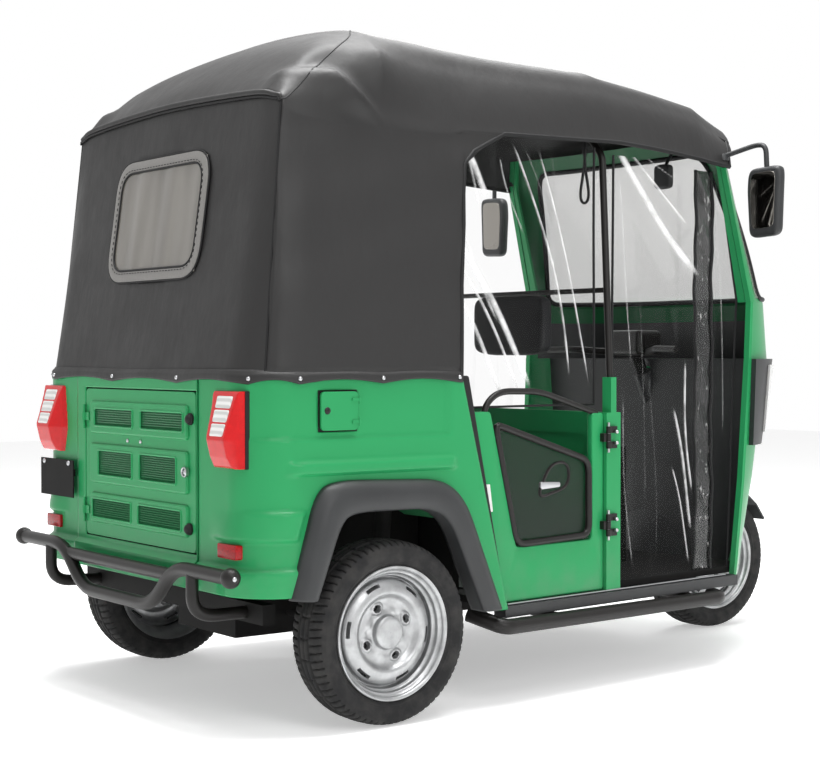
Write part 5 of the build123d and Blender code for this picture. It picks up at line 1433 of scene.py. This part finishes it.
def dome(radius, height, spot, axis="y", steps=20):
    """A button: (r cos t, h sin t) turned about an axis, its foot a little sunk."""
    t = np.linspace(0, np.pi / 2, 7)
    dome_line = [(max(radius * math.cos(a), 1e-5), height * math.sin(a)) for a in t]
    return lathe([(radius, -0.5 * height)] + dome_line, steps, spot, axis)


def turned(part, angle, spot):
    """A part turned about the upright through a spot."""
    points, cells = part
    c, s = math.cos(angle), math.sin(angle)
    x, y, z = (points - np.asarray(spot)).T
    return xyz(c * x - s * y, s * x + c * y, z) + spot, cells


class RICKSHAW_OT_trim(bpy.types.Operator):
    """Adds the small trim: studs, flap lock, bolts, screws, sill strips, grab handle and inner mirror"""

    bl_idname = "rickshaw.trim"
    bl_label = "Trim"

    def execute(self, context):
        size = context.scene.rickshaw_sizes.stud
        studs = [dome(size, -STUD_RISE, (TUB_REAR - STUD_PROUD, y, STUD_Z), "x") for y in STUDS_REAR]
        for x in STUDS_SIDE:
            for way in (-1, 1):
                spot = (x, way * (HEM_HALF + STUD_PROUD), STUD_Z)
                studs.append(dome(size, way * STUD_RISE, spot))
        spot = np.array([STUD_CORNER[0] - 0.005, -STUD_CORNER[1] - 0.004, STUD_Z])
        corner = turned(dome(size, -STUD_RISE, spot, "x"), STUD_TURN, spot)
        piece("hem_studs", join(*studs, mirrored(corner)), "bright")
        piece("flap_lock", dome(0.010, -0.005, (-0.200, -0.664, 0.865)), "lacquer", "charge_flap")
        bolts = []
        for z in DOOR_HINGES:
            for rise in (-0.017, 0.017):
                spot = on_side(0.648, z + rise, 0.010).ravel()
                bolts.append(dome(0.0065, -0.007, spot))
        piece("hinge_bolts", mirrored(join(*bolts)), "bright")
        screws = [dome(0.008, -0.005, (TUB_REAR - 0.0225, y, 0.680), "x") for y in (0.567, 0.395)]
        piece("plate_screws", join(*screws), "bright")
        t = np.linspace(0, 1, 24)
        sill = tube(on_side(blend(0.19, 1.20, t), 0 * t + 0.287, 0 * t - 0.004), 0.0035, 8)
        piece("sill_strips", mirrored(sill), "bright")
        loop = np.linspace(0, 1, 40)
        drop = np.stack([0.900 + 0 * loop, -0.475 + 0.024 * np.sin(2 * np.pi * loop) * np.sin(np.pi * loop),
                         1.640 - 0.150 * np.sin(np.pi * loop)], axis=1)
        strap = np.linspace((0.900, -0.475, 1.635), (0.908, -0.470, 1.835), 8)
        piece("grab_handle", join(tube(drop, 0.0045, 8), tube(strap, 0.006, 8)), "rubber")
        glass = cushion((1.440, -0.308, 1.582), (1.474, -0.232, 1.668), 0.3)
        stalk = tube(np.linspace((1.460, -0.27, 1.655), (1.502, -0.27, 1.714), 6), 0.006, 8)
        piece("inner_mirror", join(glass, stalk), "trim")
        return {"FINISHED"}


# Stage
CAMERA_AT = (-2.693, -4.362, 1.015)
CAMERA_YAW, CAMERA_PITCH, CAMERA_LENS, CAMERA_SENSOR = 36.81, -1.01, 73.52, 36
LIGHTS = (
    # name, place, aim, size, watts
    ("key", (-2.4, -4.6, 6.2), (0, 0, 0.8), 3.0, 80),
    ("top", (-0.2, -0.3, 5.4), (0.0, 0, 1.0), 3.2, 460),
    ("rim", (3.0, 3.5, 5.2), (0, 0, 1.0), 3.0, 90),
    ("side", (-1.2, -5.8, 3.0), (-0.6, 0, 0.9), 1.6, 55))
WHITE, SKY_GLOW, FLOOR_GLOW = (1, 1, 1, 1), 0.42, 0.42
FLOOR_REACH, FLOOR_DROP = 14, 0.0005


class RICKSHAW_OT_stage(bpy.types.Operator):
    """Lays the pale floor, hangs the soft lights and sets the camera"""

    bl_idname = "rickshaw.stage"
    bl_label = "Stage"

    def execute(self, context):
        scene = context.scene
        scene.view_settings.view_transform = "Standard"
        cam = bpy.data.cameras.new("camera")
        cam.lens, cam.sensor_width = CAMERA_LENS, CAMERA_SENSOR
        eye = bpy.data.objects.new("camera", cam)
        eye.location = (CAMERA_AT[0] + AXLE, CAMERA_AT[1], CAMERA_AT[2])
        eye.rotation_euler = (math.radians(90 + CAMERA_PITCH), 0, math.radians(-CAMERA_YAW))
        scene.collection.objects.link(eye)
        scene.camera = eye
        self.floor(scene)
        self.world(scene)
        for name, at, aim, size, power in LIGHTS:
            lamp = bpy.data.lights.new(name, "AREA")
            lamp.size, lamp.energy = size, power
            made = bpy.data.objects.new(name, lamp)
            made.location = at
            away = np.array(at) - np.array(aim)
            made.rotation_euler = (math.atan2(math.hypot(away[0], away[1]), away[2]), 0,
                                   math.atan2(away[1], away[0]) + math.pi / 2)
            scene.collection.objects.link(made)
        return {"FINISHED"}

    def floor(self, scene):
        """A large flat floor in the floor colour."""
        t = np.linspace(-FLOOR_REACH, FLOOR_REACH, 5)
        x, y = pairs(t, t)
        points, cells = surface(xyz(x, y, -FLOOR_DROP))
        mesh = bpy.data.meshes.new("floor")
        mesh.from_pydata(points.tolist(), [], cells)
        ground = Finish("floor", Base_Color=tuple(scene.rickshaw_colours.floor), Roughness=0.75)
        ground.set("Emission Color", tuple(scene.rickshaw_colours.floor))
        ground.set("Emission Strength", FLOOR_GLOW)
        mesh.materials.append(ground.material)
        made = bpy.data.objects.new("floor", mesh)
        scene.collection.objects.link(made)

    def world(self, scene):
        """White where the camera, reflections or clear film see it, softer as light."""
        world = bpy.data.worlds.new("studio")
        scene.world = world
        world.use_nodes = True
        sky = Wiring(world.node_tree)
        sky.tree.nodes.remove(sky.tree.nodes["Background"])
        rays = [sky.node("ShaderNodeLightPath", output=f"Is {ray} Ray")
                for ray in ("Camera", "Glossy", "Transmission")]
        seen = rays[0].math("MINIMUM", rays[0] + rays[1] + rays[2], 1.0)
        soft, white = (sky.node("ShaderNodeBackground", inputs={"Color": WHITE, "Strength": strength})
                       for strength in (SKY_GLOW, 1.0))
        mixed = sky.node("ShaderNodeMixShader", inputs={0: seen, 1: soft, 2: white})
        sky.feed(sky.tree.nodes["World Output"].inputs["Surface"], mixed)


OPERATORS = (
    RICKSHAW_OT_finishes, RICKSHAW_OT_canopy, RICKSHAW_OT_tub, RICKSHAW_OT_hatch, RICKSHAW_OT_bumper,
    RICKSHAW_OT_wheels, RICKSHAW_OT_doors, RICKSHAW_OT_lamps, RICKSHAW_OT_cab, RICKSHAW_OT_curtains,
    RICKSHAW_OT_seats, RICKSHAW_OT_mirrors, RICKSHAW_OT_trim, RICKSHAW_OT_stage)


class RICKSHAW_PT_panel(bpy.types.Panel):
    """Lists the rickshaw's pieces"""

    bl_idname = "RICKSHAW_PT_panel"
    bl_label = "Rickshaw"
    bl_space_type = "VIEW_3D"
    bl_region_type = "UI"
    bl_category = "Rickshaw"

    def draw(self, context):
        for operator in OPERATORS:
            self.layout.operator(operator.bl_idname)
        for group in (context.scene.rickshaw_colours, context.scene.rickshaw_sizes):
            for key in group.bl_rna.properties.keys()[2:]:
                self.layout.prop(group, key)


CLASSES = (RickshawColours, RickshawSizes, *OPERATORS, RICKSHAW_PT_panel)


def register():
    """Adds the classes and the two groups of settings."""
    for cls in CLASSES:
        bpy.utils.register_class(cls)
    bpy.types.Scene.rickshaw_colours = bpy.props.PointerProperty(type=RickshawColours)
    bpy.types.Scene.rickshaw_sizes = bpy.props.PointerProperty(type=RickshawSizes)


def unregister():
    """Takes away what register added."""
    del bpy.types.Scene.rickshaw_sizes
    del bpy.types.Scene.rickshaw_colours
    for cls in reversed(CLASSES):
        bpy.utils.unregister_class(cls)


def main():
    """Builds every piece in order."""
    register()
    for operator in OPERATORS:
        group, name = operator.bl_idname.split(".")
        getattr(getattr(bpy.ops, group), name)()


if __name__ == "__main__":
    main()
